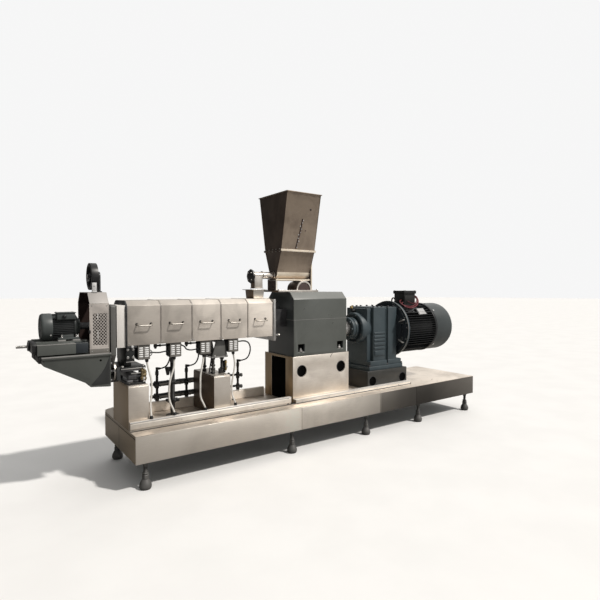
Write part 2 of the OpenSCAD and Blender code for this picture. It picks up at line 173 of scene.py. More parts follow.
def height_mask(nt, z0, z1):
    """1 below z0 and 0 above z1, in metres from the floor."""
    t = nt.nodes.new("ShaderNodeTexCoord")
    s = nt.nodes.new("ShaderNodeSeparateXYZ")
    nt.links.new(t.outputs["Object"], s.inputs[0])
    r = nt.nodes.new("ShaderNodeMapRange")
    r.interpolation_type = "SMOOTHSTEP"
    r.inputs["From Min"].default_value = z0
    r.inputs["From Max"].default_value = z1
    r.inputs["To Min"].default_value = 1.0
    r.inputs["To Max"].default_value = 0.0
    nt.links.new(s.outputs["Z"], r.inputs["Value"])
    return r.outputs["Result"]


def along(nt, colour, stops):
    """Painted light and shade: brightens or darkens a colour by its place along the machine: (local mm, gain) stops."""
    t = nt.nodes.new("ShaderNodeTexCoord")
    sx = nt.nodes.new("ShaderNodeSeparateXYZ")
    nt.links.new(t.outputs["Object"], sx.inputs[0])
    f = math_node(nt, "MULTIPLY", math_node(nt, "ADD", sx.outputs["X"], 2.0), 0.25)
    r = ramp(nt, f, [(((x / 1000 - OX) + 2) / 4, g / 2) for x, g in stops], "LINEAR")
    m1 = nt.nodes.new("ShaderNodeVectorMath")
    m1.operation = "MULTIPLY"
    nt.links.new(colour, m1.inputs[0])
    nt.links.new(r, m1.inputs[1])
    m2 = nt.nodes.new("ShaderNodeVectorMath")
    m2.operation = "SCALE"
    m2.inputs["Scale"].default_value = 2.0
    nt.links.new(m1.outputs[0], m2.inputs[0])
    return m2.outputs[0]


def painted_end_shade(nt, colour, shade_tint):
    """Painted shade: the faces that look to the cutter end (-x), away from the key light, are darkened and tinted."""
    geo = nt.nodes.new("ShaderNodeNewGeometry")
    sx = nt.nodes.new("ShaderNodeSeparateXYZ")
    nt.links.new(geo.outputs["True Normal"], sx.inputs[0])
    r = nt.nodes.new("ShaderNodeMapRange")
    r.interpolation_type = "SMOOTHSTEP"
    r.inputs["From Min"].default_value = -0.45
    r.inputs["From Max"].default_value = -0.95
    nt.links.new(sx.outputs["X"], r.inputs["Value"])
    return mix(nt, r.outputs["Result"], colour, mix(nt, 1.0, colour, shade_tint, "MULTIPLY"))


def painted_top_light(nt, colour, dust_and_top_light, most):
    """Painted light and shade on the faces that look up: their colour goes toward the given top colour, the more the
    flatter they are.
    """
    geo = nt.nodes.new("ShaderNodeNewGeometry")
    sx = nt.nodes.new("ShaderNodeSeparateXYZ")
    nt.links.new(geo.outputs["True Normal"], sx.inputs[0])
    r = nt.nodes.new("ShaderNodeMapRange")
    r.interpolation_type = "SMOOTHSTEP"
    r.inputs["From Min"].default_value = 0.35
    r.inputs["From Max"].default_value = 0.80
    r.inputs["To Max"].default_value = most
    nt.links.new(sx.outputs["Z"], r.inputs["Value"])
    return mix(nt, r.outputs["Result"], colour, dust_and_top_light)


def steel(name, col, dark, rough=(0.3, 0.46), grain=(3, 3, 260), grain_bump=0.12, blotch=3.2,
          stain=None, stain_at=0.62, metallic=0.92, low=None, painted_light_gains=None, end=None, top=None):
    """Brushed or rolled sheet steel: grain lines, cloudy tone, water stains; where given, painted light and shade along
    the machine, on the -x faces and on the faces that look up.
    """
    m, nt, b = tree(name)
    v = coords(nt)
    vg = coords(nt, grain)
    cloud = noise(nt, v, blotch, 6, 0.6, 0.6)
    fine = noise(nt, v, 95, 3, 0.6)
    g = noise(nt, vg, 6.0, 5, 0.65)
    base = ramp(nt, cloud, [(0.30, dark), (0.62, col)])
    base = mix(nt, 0.10, base, ramp(nt, g, [(0.3, 0.15), (0.7, 1.0)]), "OVERLAY")
    if stain is not None:
        s = noise(nt, coords(nt, (1, 1, 0.45)), 9.0, 8, 0.7, 1.2)
        base = mix(nt, ramp(nt, s, [(stain_at, 0.0), (stain_at + 0.14, 0.8)]), base, stain)
    if low is not None:
        lm = math_node(nt, "MULTIPLY", height_mask(nt, low[1], low[2]), noise(nt, v, 5, 5, 0.7))
        base = mix(nt, lm, base, low[0])
    # painted light and shade: along the machine, on the -x faces and on the faces that look up
    if painted_light_gains is not None:
        base = along(nt, base, painted_light_gains)
    if end is not None:
        base = painted_end_shade(nt, base, end)
    if top is not None:
        base = painted_top_light(nt, base, top, 0.85)
    nt.links.new(base, b.inputs["Base Color"])
    b.inputs["Metallic"].default_value = metallic
    rr = math_node(nt, "ADD", rough_range(nt, cloud, rough[0], rough[1]),
                   math_node(nt, "MULTIPLY", g, 0.06))
    nt.links.new(rr, b.inputs["Roughness"])
    n1 = bump(nt, g, grain_bump, 0.0006)
    n2 = bump(nt, noise(nt, v, 2.4, 2, 0.5), 0.25, 0.004, n1)
    n3 = bump(nt, fine, 0.04, 0.0008, n2)
    nt.links.new(n3, b.inputs["Normal"])
    return m


def paint(name, col, dark, rough=(0.32, 0.46), peel=0.10, coarse=0.0, dust_and_top_light=None, spec=0.5, chips=None, end=None, top=None):
    """Sprayed machine paint: cloudy tone, orange peel or cast skin, dusty blotches, worn edges; where given, painted
    shade on the -x faces and painted light on the faces that look up.
    """
    m, nt, b = tree(name)
    v = coords(nt)
    cloud = noise(nt, v, 4.2, 6, 0.62, 0.4)
    peel_n = noise(nt, v, 260, 3, 0.5)
    base = ramp(nt, cloud, [(0.32, dark), (0.66, col)])
    if dust_and_top_light is not None:
        d = noise(nt, v, 13, 8, 0.72, 0.8)
        base = mix(nt, ramp(nt, d, [(0.52, 0.0), (0.74, 0.55)]), base, dust_and_top_light)
    if chips is not None:
        geo = nt.nodes.new("ShaderNodeNewGeometry")
        edge = ramp(nt, geo.outputs["Pointiness"], [(0.505, 0.0), (0.55, 1.0)], "LINEAR")
        k = ramp(nt, noise(nt, v, 60, 6, 0.7), [(0.45, 0.0), (0.6, 1.0)], "LINEAR")
        base = mix(nt, math_node(nt, "MULTIPLY", math_node(nt, "MULTIPLY", edge, k), 0.75), base, chips)
    # painted shade on the -x faces and painted light on the faces that look up
    if end is not None:
        base = painted_end_shade(nt, base, end)
    if top is not None:
        base = painted_top_light(nt, base, top, 0.46)
    nt.links.new(base, b.inputs["Base Color"])
    b.inputs["Metallic"].default_value = 0.0
    b.inputs["Specular IOR Level"].default_value = spec
    nt.links.new(rough_range(nt, noise(nt, v, 8, 5, 0.6), rough[0], rough[1]), b.inputs["Roughness"])
    n1 = bump(nt, peel_n, peel, 0.0006)
    if coarse:
        n1 = bump(nt, noise(nt, v, 55, 5, 0.6), coarse, 0.002, n1)
    n2 = bump(nt, noise(nt, v, 5, 2, 0.5), 0.12, 0.004, n1)
    nt.links.new(n2, b.inputs["Normal"])
    return m


def plastic(name, col, dark, rough=(0.35, 0.5), bump_scale=180, strength=0.06, spec=0.5):
    m, nt, b = tree(name)
    v = coords(nt)
    c = noise(nt, v, 18, 5, 0.6)
    nt.links.new(ramp(nt, c, [(0.3, dark), (0.65, col)]), b.inputs["Base Color"])
    b.inputs["Specular IOR Level"].default_value = spec
    nt.links.new(rough_range(nt, noise(nt, v, 30, 4, 0.6), rough[0], rough[1]), b.inputs["Roughness"])
    nt.links.new(bump(nt, noise(nt, v, bump_scale, 3, 0.5), strength, 0.0008), b.inputs["Normal"])
    return m


M = {
    # painted light along the machine, and painted shade with a brown tint on the -x faces
    "stainless": steel("stainless", (0.60, 0.555, 0.50), (0.47, 0.43, 0.385), (0.30, 0.44), (2, 200, 200), 0.10, 2.6,
                       stain=(0.40, 0.36, 0.31), stain_at=0.68, metallic=0.8, low=((0.34, 0.28, 0.21), 0.30, 0.52),
                       painted_light_gains=((0, 1.43), (130, 1.40), (560, 1.10), (700, 1.10), (1200, 1.66), (1780, 1.74)), end=(0.44, 0.36, 0.26)),
    # painted shade, darker than on the other pedestal, on the -x faces
    "stainless_mid": steel("stainless_mid", (0.66, 0.61, 0.55), (0.52, 0.475, 0.425), (0.30, 0.44), (2, 200, 200), 0.10, 2.6,
                           stain=(0.40, 0.36, 0.31), stain_at=0.68, metallic=0.8, low=((0.34, 0.28, 0.21), 0.30, 0.52),
                           end=(0.22, 0.175, 0.14)),
    # painted light along the covers, brighter towards the right end
    "cover_steel": steel("cover_steel", (0.55, 0.505, 0.455), (0.43, 0.395, 0.355), (0.36, 0.50), (2, 200, 200), 0.10, 5.5,
                         stain=(0.40, 0.365, 0.32), stain_at=0.66, metallic=0.40,
                         painted_light_gains=((0, 0.93), (205, 0.94), (225, 0.98), (415, 0.99), (440, 1.34), (830, 1.42), (850, 1.72), (1060, 1.80))),
    # painted shade on the -x faces
    "stainless_bright": steel("stainless_bright", (0.76, 0.72, 0.67), (0.62, 0.58, 0.53), (0.26, 0.42), (2, 200, 200), 0.10, 4.0,
                              stain=(0.44, 0.40, 0.35), stain_at=0.70, end=(0.22, 0.17, 0.14)),
    # painted light along the base; from x 2004 on, the painted shadow and dark reflection of a cabinet that is not
    # modelled; painted shade on the -x faces
    "base_steel": steel("base_steel", (0.62, 0.575, 0.515), (0.49, 0.45, 0.40), (0.30, 0.44), (2, 200, 200), 0.10, 1.8,
                        stain=(0.42, 0.38, 0.33), stain_at=0.70, metallic=0.8,
                        painted_light_gains=((0, 1.14), (300, 1.20), (480, 1.42), (700, 1.66), (1190, 1.70), (1200, 1.50), (1325, 1.60), (1500, 1.50), (1700, 1.30), (1900, 1.02),
                               (1996, 0.94), (2004, 0.38), (2130, 0.30), (2245, 0.20), (2440, 0.15), (2452, 0.12), (2640, 0.12), (2900, 0.25), (3280, 0.42)), end=(0.52, 0.46, 0.38)),
    # painted shade on the -x faces
    "stained_stainless": steel("stained_stainless", (0.41, 0.335, 0.265), (0.27, 0.215, 0.17), (0.44, 0.60), (240, 240, 3), 0.12, 5.0,
                               stain=(0.15, 0.105, 0.075), stain_at=0.60, metallic=0.55, end=(0.26, 0.25, 0.26)),
    # bright cream steel, used only for painted highlights and a painted reflection on the hopper and its stand
    "painted_highlight_steel": steel("painted_highlight_steel", (0.96, 0.86, 0.71), (0.80, 0.69, 0.55), (0.30, 0.42), (2, 200, 200), 0.10, 9.0,
                          stain=(0.50, 0.40, 0.28), stain_at=0.64, metallic=0.35),
    # painted light along the duct, and painted shade on its -x faces
    "duct_steel": steel("duct_steel", (0.80, 0.76, 0.70), (0.58, 0.535, 0.48), (0.34, 0.50), (2, 200, 200), 0.14, 3.0,
                        stain=(0.34, 0.30, 0.26), stain_at=0.62, metallic=0.4, painted_light_gains=((0, 1.0), (1172, 1.05), (1212, 1.16), (2480, 1.22)), end=(0.5, 0.44, 0.36)),
    # painted light along the top plate
    "top_steel": steel("top_steel", (0.78, 0.70, 0.61), (0.52, 0.45, 0.375), (0.30, 0.46), (2, 200, 200), 0.10, 2.2,
                       stain=(0.30, 0.215, 0.145), stain_at=0.56, metallic=0.6, painted_light_gains=((0, 0.80), (1150, 0.85), (1800, 1.1), (2400, 1.2), (3280, 1.1))),
    # near-white: painted light on the rear duct, which lies in the covers' shade
    "rear_duct_painted_light": steel("rear_duct_painted_light", (0.96, 0.89, 0.80), (0.78, 0.71, 0.62), (0.34, 0.50), (2, 200, 200), 0.10, 3.4,
                             stain=(0.44, 0.34, 0.24), stain_at=0.64, metallic=0.15),
    # painted shade on the faces that look up, which dims the chamfers' highlight
    "guard_steel": steel("guard_steel", (0.53, 0.49, 0.455), (0.455, 0.42, 0.39), (0.46, 0.60), (2, 200, 200), 0.08, 6.0,
                         stain=(0.40, 0.37, 0.345), stain_at=0.66, metallic=0.25, top=(0.235, 0.232, 0.228)),
    "brown_rust": paint("brown_rust", (0.060, 0.038, 0.034), (0.032, 0.022, 0.020), (0.6, 0.8), 0.3, 0.3, dust_and_top_light=(0.12, 0.085, 0.06)),
    # dark brown, used only as painted shade inside the cutter guard
    "painted_shade_brown": paint("painted_shade_brown", (0.034, 0.021, 0.018), (0.018, 0.012, 0.011), (0.7, 0.85), 0.2, 0.2, spec=0.15),
    "box_black": paint("box_black", (0.018, 0.0195, 0.0205), (0.0115, 0.0125, 0.0135), (0.34, 0.48), 0.12, 0.1, spec=0.4),
    # near-black, used only as painted shade in holes and recesses
    "painted_shade_black": plastic("painted_shade_black", (0.004, 0.004, 0.004), (0.002, 0.002, 0.002), (0.85, 0.95), spec=0.03),
    "handle_steel": steel("handle_steel", (0.47, 0.445, 0.41), (0.33, 0.31, 0.285), (0.30, 0.44), (260, 3, 3), 0.1, 14.0),
    "brass_dull": steel("brass_dull", (0.27, 0.205, 0.105), (0.17, 0.13, 0.07), (0.34, 0.48), (3, 3, 120), 0.1, 30.0, metallic=0.6),
    "foot_iron": paint("foot_iron", (0.125, 0.123, 0.118), (0.075, 0.074, 0.071), (0.4, 0.55), 0.14, 0.16, dust_and_top_light=(0.20, 0.185, 0.16)),
    "bare_steel": steel("bare_steel", (0.62, 0.61, 0.59), (0.42, 0.41, 0.40), (0.22, 0.36), (260, 260, 3), 0.12, 9.0),
    "dark_steel": steel("dark_steel", (0.10, 0.10, 0.105), (0.045, 0.045, 0.047), (0.38, 0.54), (30, 30, 3), 0.1, 9.0,
                        metallic=0.6),
    # painted shade with a blue tint on the -x faces, and painted highlight on the faces that look up
    "grey_paint": paint("grey_paint", (0.110, 0.118, 0.109), (0.092, 0.100, 0.092), (0.26, 0.36), 0.08, spec=0.6,
                        end=(0.42, 0.45, 0.50), top=(0.34, 0.345, 0.33)),
    "blue_dark": paint("blue_dark", (0.020, 0.026, 0.032), (0.012, 0.016, 0.021), (0.34, 0.5), 0.10),
    "shade_paint": paint("shade_paint", (0.028, 0.030, 0.030), (0.021, 0.0225, 0.0225), (0.36, 0.5), 0.12),
    # painted shade on the -x faces
    "plinth_paint": paint("plinth_paint", (0.045, 0.045, 0.042), (0.033, 0.033, 0.031), (0.34, 0.46), 0.12,
                          dust_and_top_light=(0.085, 0.08, 0.07), end=(0.45, 0.42, 0.38)),
    "arm_paint": paint("arm_paint", (0.090, 0.097, 0.090), (0.074, 0.080, 0.074), (0.30, 0.44), 0.10),
    # painted shade on the -x faces
    "plate_grey": paint("plate_grey", (0.125, 0.124, 0.117), (0.102, 0.101, 0.095), (0.34, 0.46), 0.10, end=(0.6, 0.6, 0.6)),
    "box_grey": paint("box_grey", (0.185, 0.175, 0.160), (0.145, 0.137, 0.125), (0.36, 0.5), 0.08, dust_and_top_light=(0.24, 0.22, 0.19)),
    "light_grey_paint": paint("light_grey_paint", (0.30, 0.295, 0.285), (0.235, 0.23, 0.222), (0.34, 0.46), 0.08),
    "dark_paint": paint("dark_paint", (0.040, 0.043, 0.045), (0.025, 0.027, 0.029), (0.30, 0.46), 0.10,
                        dust_and_top_light=(0.10, 0.09, 0.08)),
    "black_paint": paint("black_paint", (0.021, 0.0225, 0.0245), (0.012, 0.0135, 0.015), (0.28, 0.42), 0.10,
                         dust_and_top_light=(0.035, 0.035, 0.036), spec=0.4),
    # slight painted shade on the -x faces
    "blue_grey_paint": paint("blue_grey_paint", (0.053, 0.074, 0.085), (0.038, 0.055, 0.064), (0.36, 0.52), 0.12, 0.14,
                             end=(0.92, 0.92, 0.90)),
    "green_grey_paint": paint("green_grey_paint", (0.058, 0.068, 0.070), (0.040, 0.048, 0.050), (0.32, 0.46), 0.12, 0.12),
    "motor_green": paint("motor_green", (0.062, 0.071, 0.070), (0.044, 0.051, 0.050), (0.34, 0.48), 0.12, 0.12),
    "black_iron": paint("black_iron", (0.018, 0.018, 0.018), (0.009, 0.009, 0.009), (0.36, 0.52), 0.16, 0.2,
                        dust_and_top_light=(0.06, 0.055, 0.047)),
    "pale_panel": paint("pale_panel", (0.84, 0.815, 0.775), (0.75, 0.72, 0.685), (0.42, 0.55), 0.06),
    "white_conduit": plastic("white_conduit", (0.72, 0.70, 0.66), (0.56, 0.54, 0.50), (0.38, 0.5)),
    "black_rubber": plastic("black_rubber", (0.012, 0.012, 0.012), (0.007, 0.007, 0.007), (0.5, 0.65)),
    "black_plastic": plastic("black_plastic", (0.013, 0.013, 0.014), (0.008, 0.008, 0.009), (0.30, 0.42)),
    "red_cable": plastic("red_cable", (0.15, 0.010, 0.018), (0.085, 0.006, 0.011), (0.4, 0.55)),
    "brass_fitting": steel("brass_fitting", (0.50, 0.38, 0.17), (0.32, 0.235, 0.10), (0.28, 0.42), (3, 3, 120), 0.1, 30.0),
    "label_grey": paint("label_grey", (0.46, 0.46, 0.46), (0.38, 0.38, 0.38), (0.4, 0.5), 0.05),
    "plate_white": steel("plate_white", (0.66, 0.66, 0.655), (0.58, 0.58, 0.575), (0.38, 0.5), (160, 3, 3), 0.08, 30.0, metallic=0.3),
}


# --------------------------------------------------------------- helpers
def finish_piece(o, body, mat):
    o.data.materials.clear()
    o.data.materials.append(M[mat])
    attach(o, body)
    return o


def link(name, mesh):
    o = bpy.data.objects.new(name, mesh)
    bpy.context.scene.collection.objects.link(o)
    return o


def smooth(mesh, angle=35):
    for p in mesh.polygons:
        p.use_smooth = True
    mesh.set_sharp_from_angle(angle=math.radians(angle))


def bevel_apply(o, width, segments=2, angle=32):
    """Applies a bevel to the mesh, so that the piece keeps no modifier."""
    md = o.modifiers.new("edge", "BEVEL")
    md.width = width
    md.segments = segments
    md.limit_method = "ANGLE"
    md.angle_limit = math.radians(angle)
    md.use_clamp_overlap = True
    md.harden_normals = False
    dg = bpy.context.evaluated_depsgraph_get()
    me = bpy.data.meshes.new_from_object(o.evaluated_get(dg))
    o.modifiers.clear()
    old = o.data
    o.data = me
    bpy.data.meshes.remove(old)
    return o


def clean_copy(node):
    """The CAD node's mesh with its shared vertices joined and flat faces made whole."""
    me = NODES[node].data.copy()
    bm = bmesh.new()
    bm.from_mesh(me)
    bmesh.ops.remove_doubles(bm, verts=bm.verts, dist=1e-5)
    bmesh.ops.dissolve_limit(bm, angle_limit=math.radians(0.5), verts=bm.verts, edges=bm.edges)
    bm.to_mesh(me)
    bm.free()
    return me


def rounded(node, mat, width=0.0015, segments=2, angle=32, name=None):
    """A piece with the CAD node's shape and real rounded edges, in its place."""
    o = link(name or node + "_finish", clean_copy(node))
    bevel_apply(o, width, segments, angle)
    smooth(o.data)
    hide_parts(node)
    return finish_piece(o, BODY[node], mat)


class Build:
    """Collects simple shapes in one mesh. All sizes are in the local millimetres."""

    def __init__(self):
        self.bm = bmesh.new()

    def box(self, x0, x1, y0, y1, z0, z1):
        vs = [self.bm.verts.new(P(x, y, z)) for x in (x0, x1) for y in (y0, y1) for z in (z0, z1)]
        for f in ((0, 1, 3, 2), (4, 6, 7, 5), (0, 4, 5, 1), (2, 3, 7, 6), (0, 2, 6, 4), (1, 5, 7, 3)):
            self.bm.faces.new([vs[i] for i in f])
        return vs

    def prism(self, pts, axis, a, b, holes=()):
        """An outline carried along an axis: (y, z) along x, (x, z) along y, (x, y) along z."""
        def at(p, k):
            return P(k, p[0], p[1]) if axis == "x" else P(p[0], k, p[1]) if axis == "y" else P(p[0], p[1], k)
        lo = [self.bm.verts.new(at(p, a)) for p in pts]
        hi = [self.bm.verts.new(at(p, b)) for p in pts]
        n = len(pts)
        faces = [self.bm.faces.new(lo[::-1]), self.bm.faces.new(hi)]
        for i in range(n):
            faces.append(self.bm.faces.new([lo[i], lo[(i + 1) % n], hi[(i + 1) % n], hi[i]]))
        return faces

    def lathe(self, profile, origin, axis="x", n=32):
        """Turns (along, radius) points about an axis through origin. Radius 0 closes an end."""
        o = origin
        rings = []
        for s, r in profile:
            ring = []
            if r <= 1e-6:
                q = {"x": (o[0] + s, o[1], o[2]), "y": (o[0], o[1] + s, o[2]), "z": (o[0], o[1], o[2] + s)}[axis]
                ring = [self.bm.verts.new(P(*q))]
            else:
                for k in range(n):
                    a = 2 * math.pi * k / n
                    c, d = r * math.cos(a), r * math.sin(a)
                    q = {"x": (o[0] + s, o[1] + c, o[2] + d), "y": (o[0] + d, o[1] + s, o[2] + c),
                         "z": (o[0] + c, o[1] + d, o[2] + s)}[axis]
                    ring.append(self.bm.verts.new(P(*q)))
            rings.append(ring)
        for a, b in zip(rings, rings[1:]):
            for k in range(max(len(a), len(b))):
                k2 = (k + 1) % max(len(a), len(b))
                q = []
                q.append(a[0] if len(a) == 1 else a[k])
                if len(a) > 1:
                    q.append(a[k2])
                q.append(b[0] if len(b) == 1 else b[k2])
                if len(b) > 1:
                    q.append(b[k])
                if len(set(q)) >= 3:
                    self.bm.faces.new(q)
        return rings

    def cyl(self, origin, axis, length, r, n=24, edge=0.0):
        e = min(edge, r * 0.5, abs(length) * 0.45)
        s = 1 if length >= 0 else -1
        if e > 0:
            prof = [(0, 0), (0, r - e), (s * e, r), (length - s * e, r), (length, r - e), (length, 0)]
        else:
            prof = [(0, 0), (0, r), (length, r), (length, 0)]
        return self.lathe(prof, origin, axis, n)

    def bolt(self, x, y, z, axis, d=10, h=7, sign=-1, washer=True, n=6):
        """A hex head with its washer on a face; sign is the way out along the axis."""
        if washer:
            self.cyl((x, y, z), axis, sign * 1.6, d * 1.05, 16, 0.4)
        self.cyl(tuple(c + (sign * 1.6 if k == "xyz".index(axis) else 0) for k, c in enumerate((x, y, z))),
                 axis, sign * h, d * 0.9, n, 1.0)

    def cap_screw(self, x, y, z, axis, d=8, sign=-1):
        """A socket cap screw: a knurled head with its hexagon recess."""
        r, h = d * 0.75, d * 0.85
        self.lathe([(0, 0), (0, r), (sign * (h - 0.8), r), (sign * h, r - 0.8), (sign * h, r * 0.55),
                    (sign * h * 0.45, r * 0.5), (sign * h * 0.45, 0)], (x, y, z), axis, 12)

    def tube(self, pts, r, n=10, close=True):
        """A round bar through points, mitred by parallel frames."""
        pts = [Vector(p) for p in pts]
        m = len(pts)
        tangents = []
        for i in range(m):
            a = pts[max(i - 1, 0)]
            b = pts[min(i + 1, m - 1)]
            tangents.append((b - a).normalized())
        ref = Vector((0, 0, 1)) if abs(tangents[0].z) < 0.9 else Vector((0, 1, 0))
        u = tangents[0].cross(ref).normalized()
        rings = []
        for i in range(m):
            t = tangents[i]
            if i:
                u = (u - t * u.dot(t)).normalized()
            w = t.cross(u)
            ring = []
            for k in range(n):
                a = 2 * math.pi * k / n
                q = pts[i] + (u * math.cos(a) + w * math.sin(a)) * r
                ring.append(self.bm.verts.new(P(*q)))
            rings.append(ring)
        for a, b in zip(rings, rings[1:]):
            for k in range(n):
                self.bm.faces.new([a[k], a[(k + 1) % n], b[(k + 1) % n], b[k]])
        if close:
            self.bm.faces.new(rings[0][::-1])
            self.bm.faces.new(rings[-1])
        return rings

    def done(self, name, body, mat, bevel=0.0, segments=2, sharp=35, angle=32):
        bmesh.ops.recalc_face_normals(self.bm, faces=self.bm.faces)
        me = bpy.data.meshes.new(name)
        self.bm.to_mesh(me)
        self.bm.free()
        o = link(name, me)
        if bevel:
            bevel_apply(o, bevel / 1000, segments, angle)
        smooth(o.data, sharp)
        return finish_piece(o, body, mat)


def arc(cx, cy, r, a0, a1, n):
    return [(cx + r * math.cos(math.radians(a0 + (a1 - a0) * k / n)),
             cy + r * math.sin(math.radians(a0 + (a1 - a0) * k / n))) for k in range(n + 1)]


def catmull(pts, per=8):
    """Smooth points along a route, as the CAD's own tubes follow."""
    pts = [Vector(p) for p in pts]
    out = []
    g = lambda i: pts[max(0, min(len(pts) - 1, i))]
    for i in range(len(pts) - 1):
        a, b, c, d = g(i - 1), g(i), g(i + 1), g(i + 2)
        for k in range(per):
            t = k / per
            out.append(0.5 * ((2 * b) + (c - a) * t + (2 * a - 5 * b + 4 * c - d) * t * t + (3 * b - a - 3 * c + d) * t ** 3))
    out.append(pts[-1])
    return out


def eased(pts, step=20.0):
    """A hanging route with its bends spread out: a spline that leaves and arrives straight down."""
    k = [Vector(p) for p in pts]
    h = [(b - a).length for a, b in zip(k, k[1:])]
    m = [Vector((0, 0, -1)) for _ in k]
    for _ in range(60):
        for i in range(1, len(k) - 1):
            rhs = 3 * (h[i - 1] * (k[i + 1] - k[i]) / h[i] + h[i] * (k[i] - k[i - 1]) / h[i - 1])
            m[i] = (rhs - h[i] * m[i - 1] - h[i - 1] * m[i + 1]) / (2 * (h[i - 1] + h[i]))
    out = []
    for i in range(len(k) - 1):
        n = max(2, round(h[i] / step))
        for j in range(n):
            t = j / n
            out.append((2 * t ** 3 - 3 * t * t + 1) * k[i] + (t ** 3 - 2 * t * t + t) * h[i] * m[i]
                       + (3 * t * t - 2 * t ** 3) * k[i + 1] + (t ** 3 - t * t) * h[i] * m[i + 1])
    out.append(k[-1])
    return [tuple(v) for v in out]


# ----------------------------------------------------------- CAD finishes
rounded("base_core", "grey_paint", 0.002)
rounded("base_side_panels", "base_steel", 0.0012)
rounded("base_top_plate", "top_steel", 0.0012)
rounded("front_cable_duct", "duct_steel", 0.0015)
rounded("rear_cable_duct", "rear_duct_painted_light", 0.0015)
rounded("pedestal_left", "stainless", 0.0025, 3)
rounded("pedestal_middle", "stainless_mid", 0.0025, 3)
rounded("support_bracket_left", "box_black", 0.0015)
rounded("support_bracket_middle", "plate_grey", 0.0015)
rounded("support_jack", "black_iron", 0.001)
rounded("barrel", "dark_steel", 0.0015)
rounded("barrel_flange", "bare_steel", 0.0015)
rounded("barrel_covers", "cover_steel", 0.0010)
rounded("water_manifolds", "dark_paint", 0.001)
rounded("water_risers", "black_iron", 0.001)
rounded("gearbox_plinth", "stainless", 0.002, 3)
rounded("distribution_gearbox", "grey_paint", 0.004, 3)
rounded("reducer_plinth", "plinth_paint", 0.002)
rounded("motor_flange", "blue_grey_paint", 0.003, 3)
rounded("motor_terminal_box", "box_black", 0.012, 4)
rounded("hopper_upper", "stained_stainless", 0.0008)
rounded("hopper_lower", "stained_stainless", 0.0008)
rounded("feeder_stand", "stainless_bright", 0.001)
rounded("inlet_funnel", "stainless_bright", 0.0008)
rounded("cutter_arm", "arm_paint", 0.0015)
rounded("cutter_pivot", "dark_paint", 0.0015)
rounded("mounting_plate", "plate_grey", 0.002)
rounded("handwheel", "black_plastic", 0.004, 4)
rounded("cutter_carriage", "arm_paint", 0.003, 3)
rounded("cutter_spindle", "dark_steel", 0.001)

COVER_X = [6 + 209 * i for i in range(5)]
BOX_X = [71, 275, 483, 693]


# ------------------------------------------------------------------ cords
def cord_tube(name, pts, d, mat, per=6, corrugate=False, n=12):
    """A round hose or cable on its own route, with rings where it is a corrugated conduit."""
    line = catmull(pts, per)
    b = Build()
    if corrugate:
        dense, acc, step, out = [line[0]], 0.0, 1.9, []
        for p, q in zip(line, line[1:]):
            seg = (q - p).length
            while acc + seg >= step:
                t = (step - acc) / seg
                p = p.lerp(q, t)
                dense.append(p.copy())
                seg = (q - p).length
                acc = 0.0
            acc += seg
        dense.append(line[-1])
        rings = b.tube(dense, d / 2, n, close=True)
        for k, ring in enumerate(rings):
            if k % 2 and 1 < k < len(rings) - 2:
                c = sum((v.co for v in ring), Vector()) / n
                for v in ring:
                    v.co = c + (v.co - c) * 0.87
    else:
        b.tube(line, d / 2, n, close=True)
    o = b.done(name, "frame", mat, sharp=60)
    return o


CONDUITS = [
    [(133, 200, 757), (133, 200, 735), (139, 190, 695), (149, 176, 640), (151, 162, 560), (137, 146, 470), (134, 123, 415), (134, 123, 392)],
    [(310, 200, 757), (310, 200, 735), (304, 188, 690), (276, 172, 620), (262, 164, 540), (264, 150, 470), (283, 123, 415), (283, 123, 392)],
    [(518, 200, 757), (518, 200, 735), (504, 188, 690), (484, 176, 620), (476, 164, 540), (476, 150, 465), (494, 123, 415), (494, 123, 392)],
    [(740, 200, 757), (740, 200, 735), (746, 188, 680), (728, 174, 600), (710, 164, 520), (708, 148, 455), (717, 123, 415), (717, 123, 392)],
]
HOSES = [
    ([(145, 205, 792), (170, 205, 792), (210, 205, 788), (250, 205, 792), (275, 205, 792)], 9),
    ([(145, 222, 808), (156, 222, 808), (169, 222, 801), (174, 222, 788), (169, 222, 775), (156, 222, 768), (145, 222, 768)], 5),
    ([(349, 205, 826), (362, 205, 826), (382, 204, 815), (398, 204, 796), (428, 205, 788), (462, 205, 790), (483, 205, 790)], 9),
    ([(557, 224, 806), (566, 224, 806), (580, 224, 800), (590, 225, 787), (594, 226, 768), (592, 228, 742), (587, 231, 705), (582, 236, 662), (578, 240, 626), (578, 240, 606)], 9),
    ([(309, 500, 634), (320, 500, 634), (336, 497, 636), (349, 487, 642), (357, 470, 654), (360, 442, 678), (360, 412, 712), (359, 390, 760), (360, 379, 812), (360, 375, 870), (360, 375, 906)], 10),
    ([(526, 500, 634), (537, 500, 634), (553, 497, 636), (566, 487, 642), (574, 470, 654), (576, 442, 678), (572, 412, 712), (565, 390, 760), (561, 379, 812), (560, 375, 870), (560, 375, 906)], 10),
    ([(767, 205, 822), (788, 205, 822), (836, 226, 820), (884, 256, 808), (930, 302, 780), (964, 350, 740), (984, 396, 700), (993, 436, 668), (990, 468, 647), (976, 491, 637), (958, 500, 634), (947, 500, 634)], 10),
]
for i, pts in enumerate(CONDUITS):
    o = cord_tube("cable_conduit_%d" % (i + 1), eased([pts[k] for k in (0, 2, 3, 4, 5, 7)]), 13, "white_conduit", per=3, corrugate=True)
    if i == 0:
        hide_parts("cable_conduits")
for i, (pts, d) in enumerate(HOSES):
    o = cord_tube("water_hose_%d" % (i + 1), pts, d, "black_rubber")
    if i == 0:
        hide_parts("water_hoses")
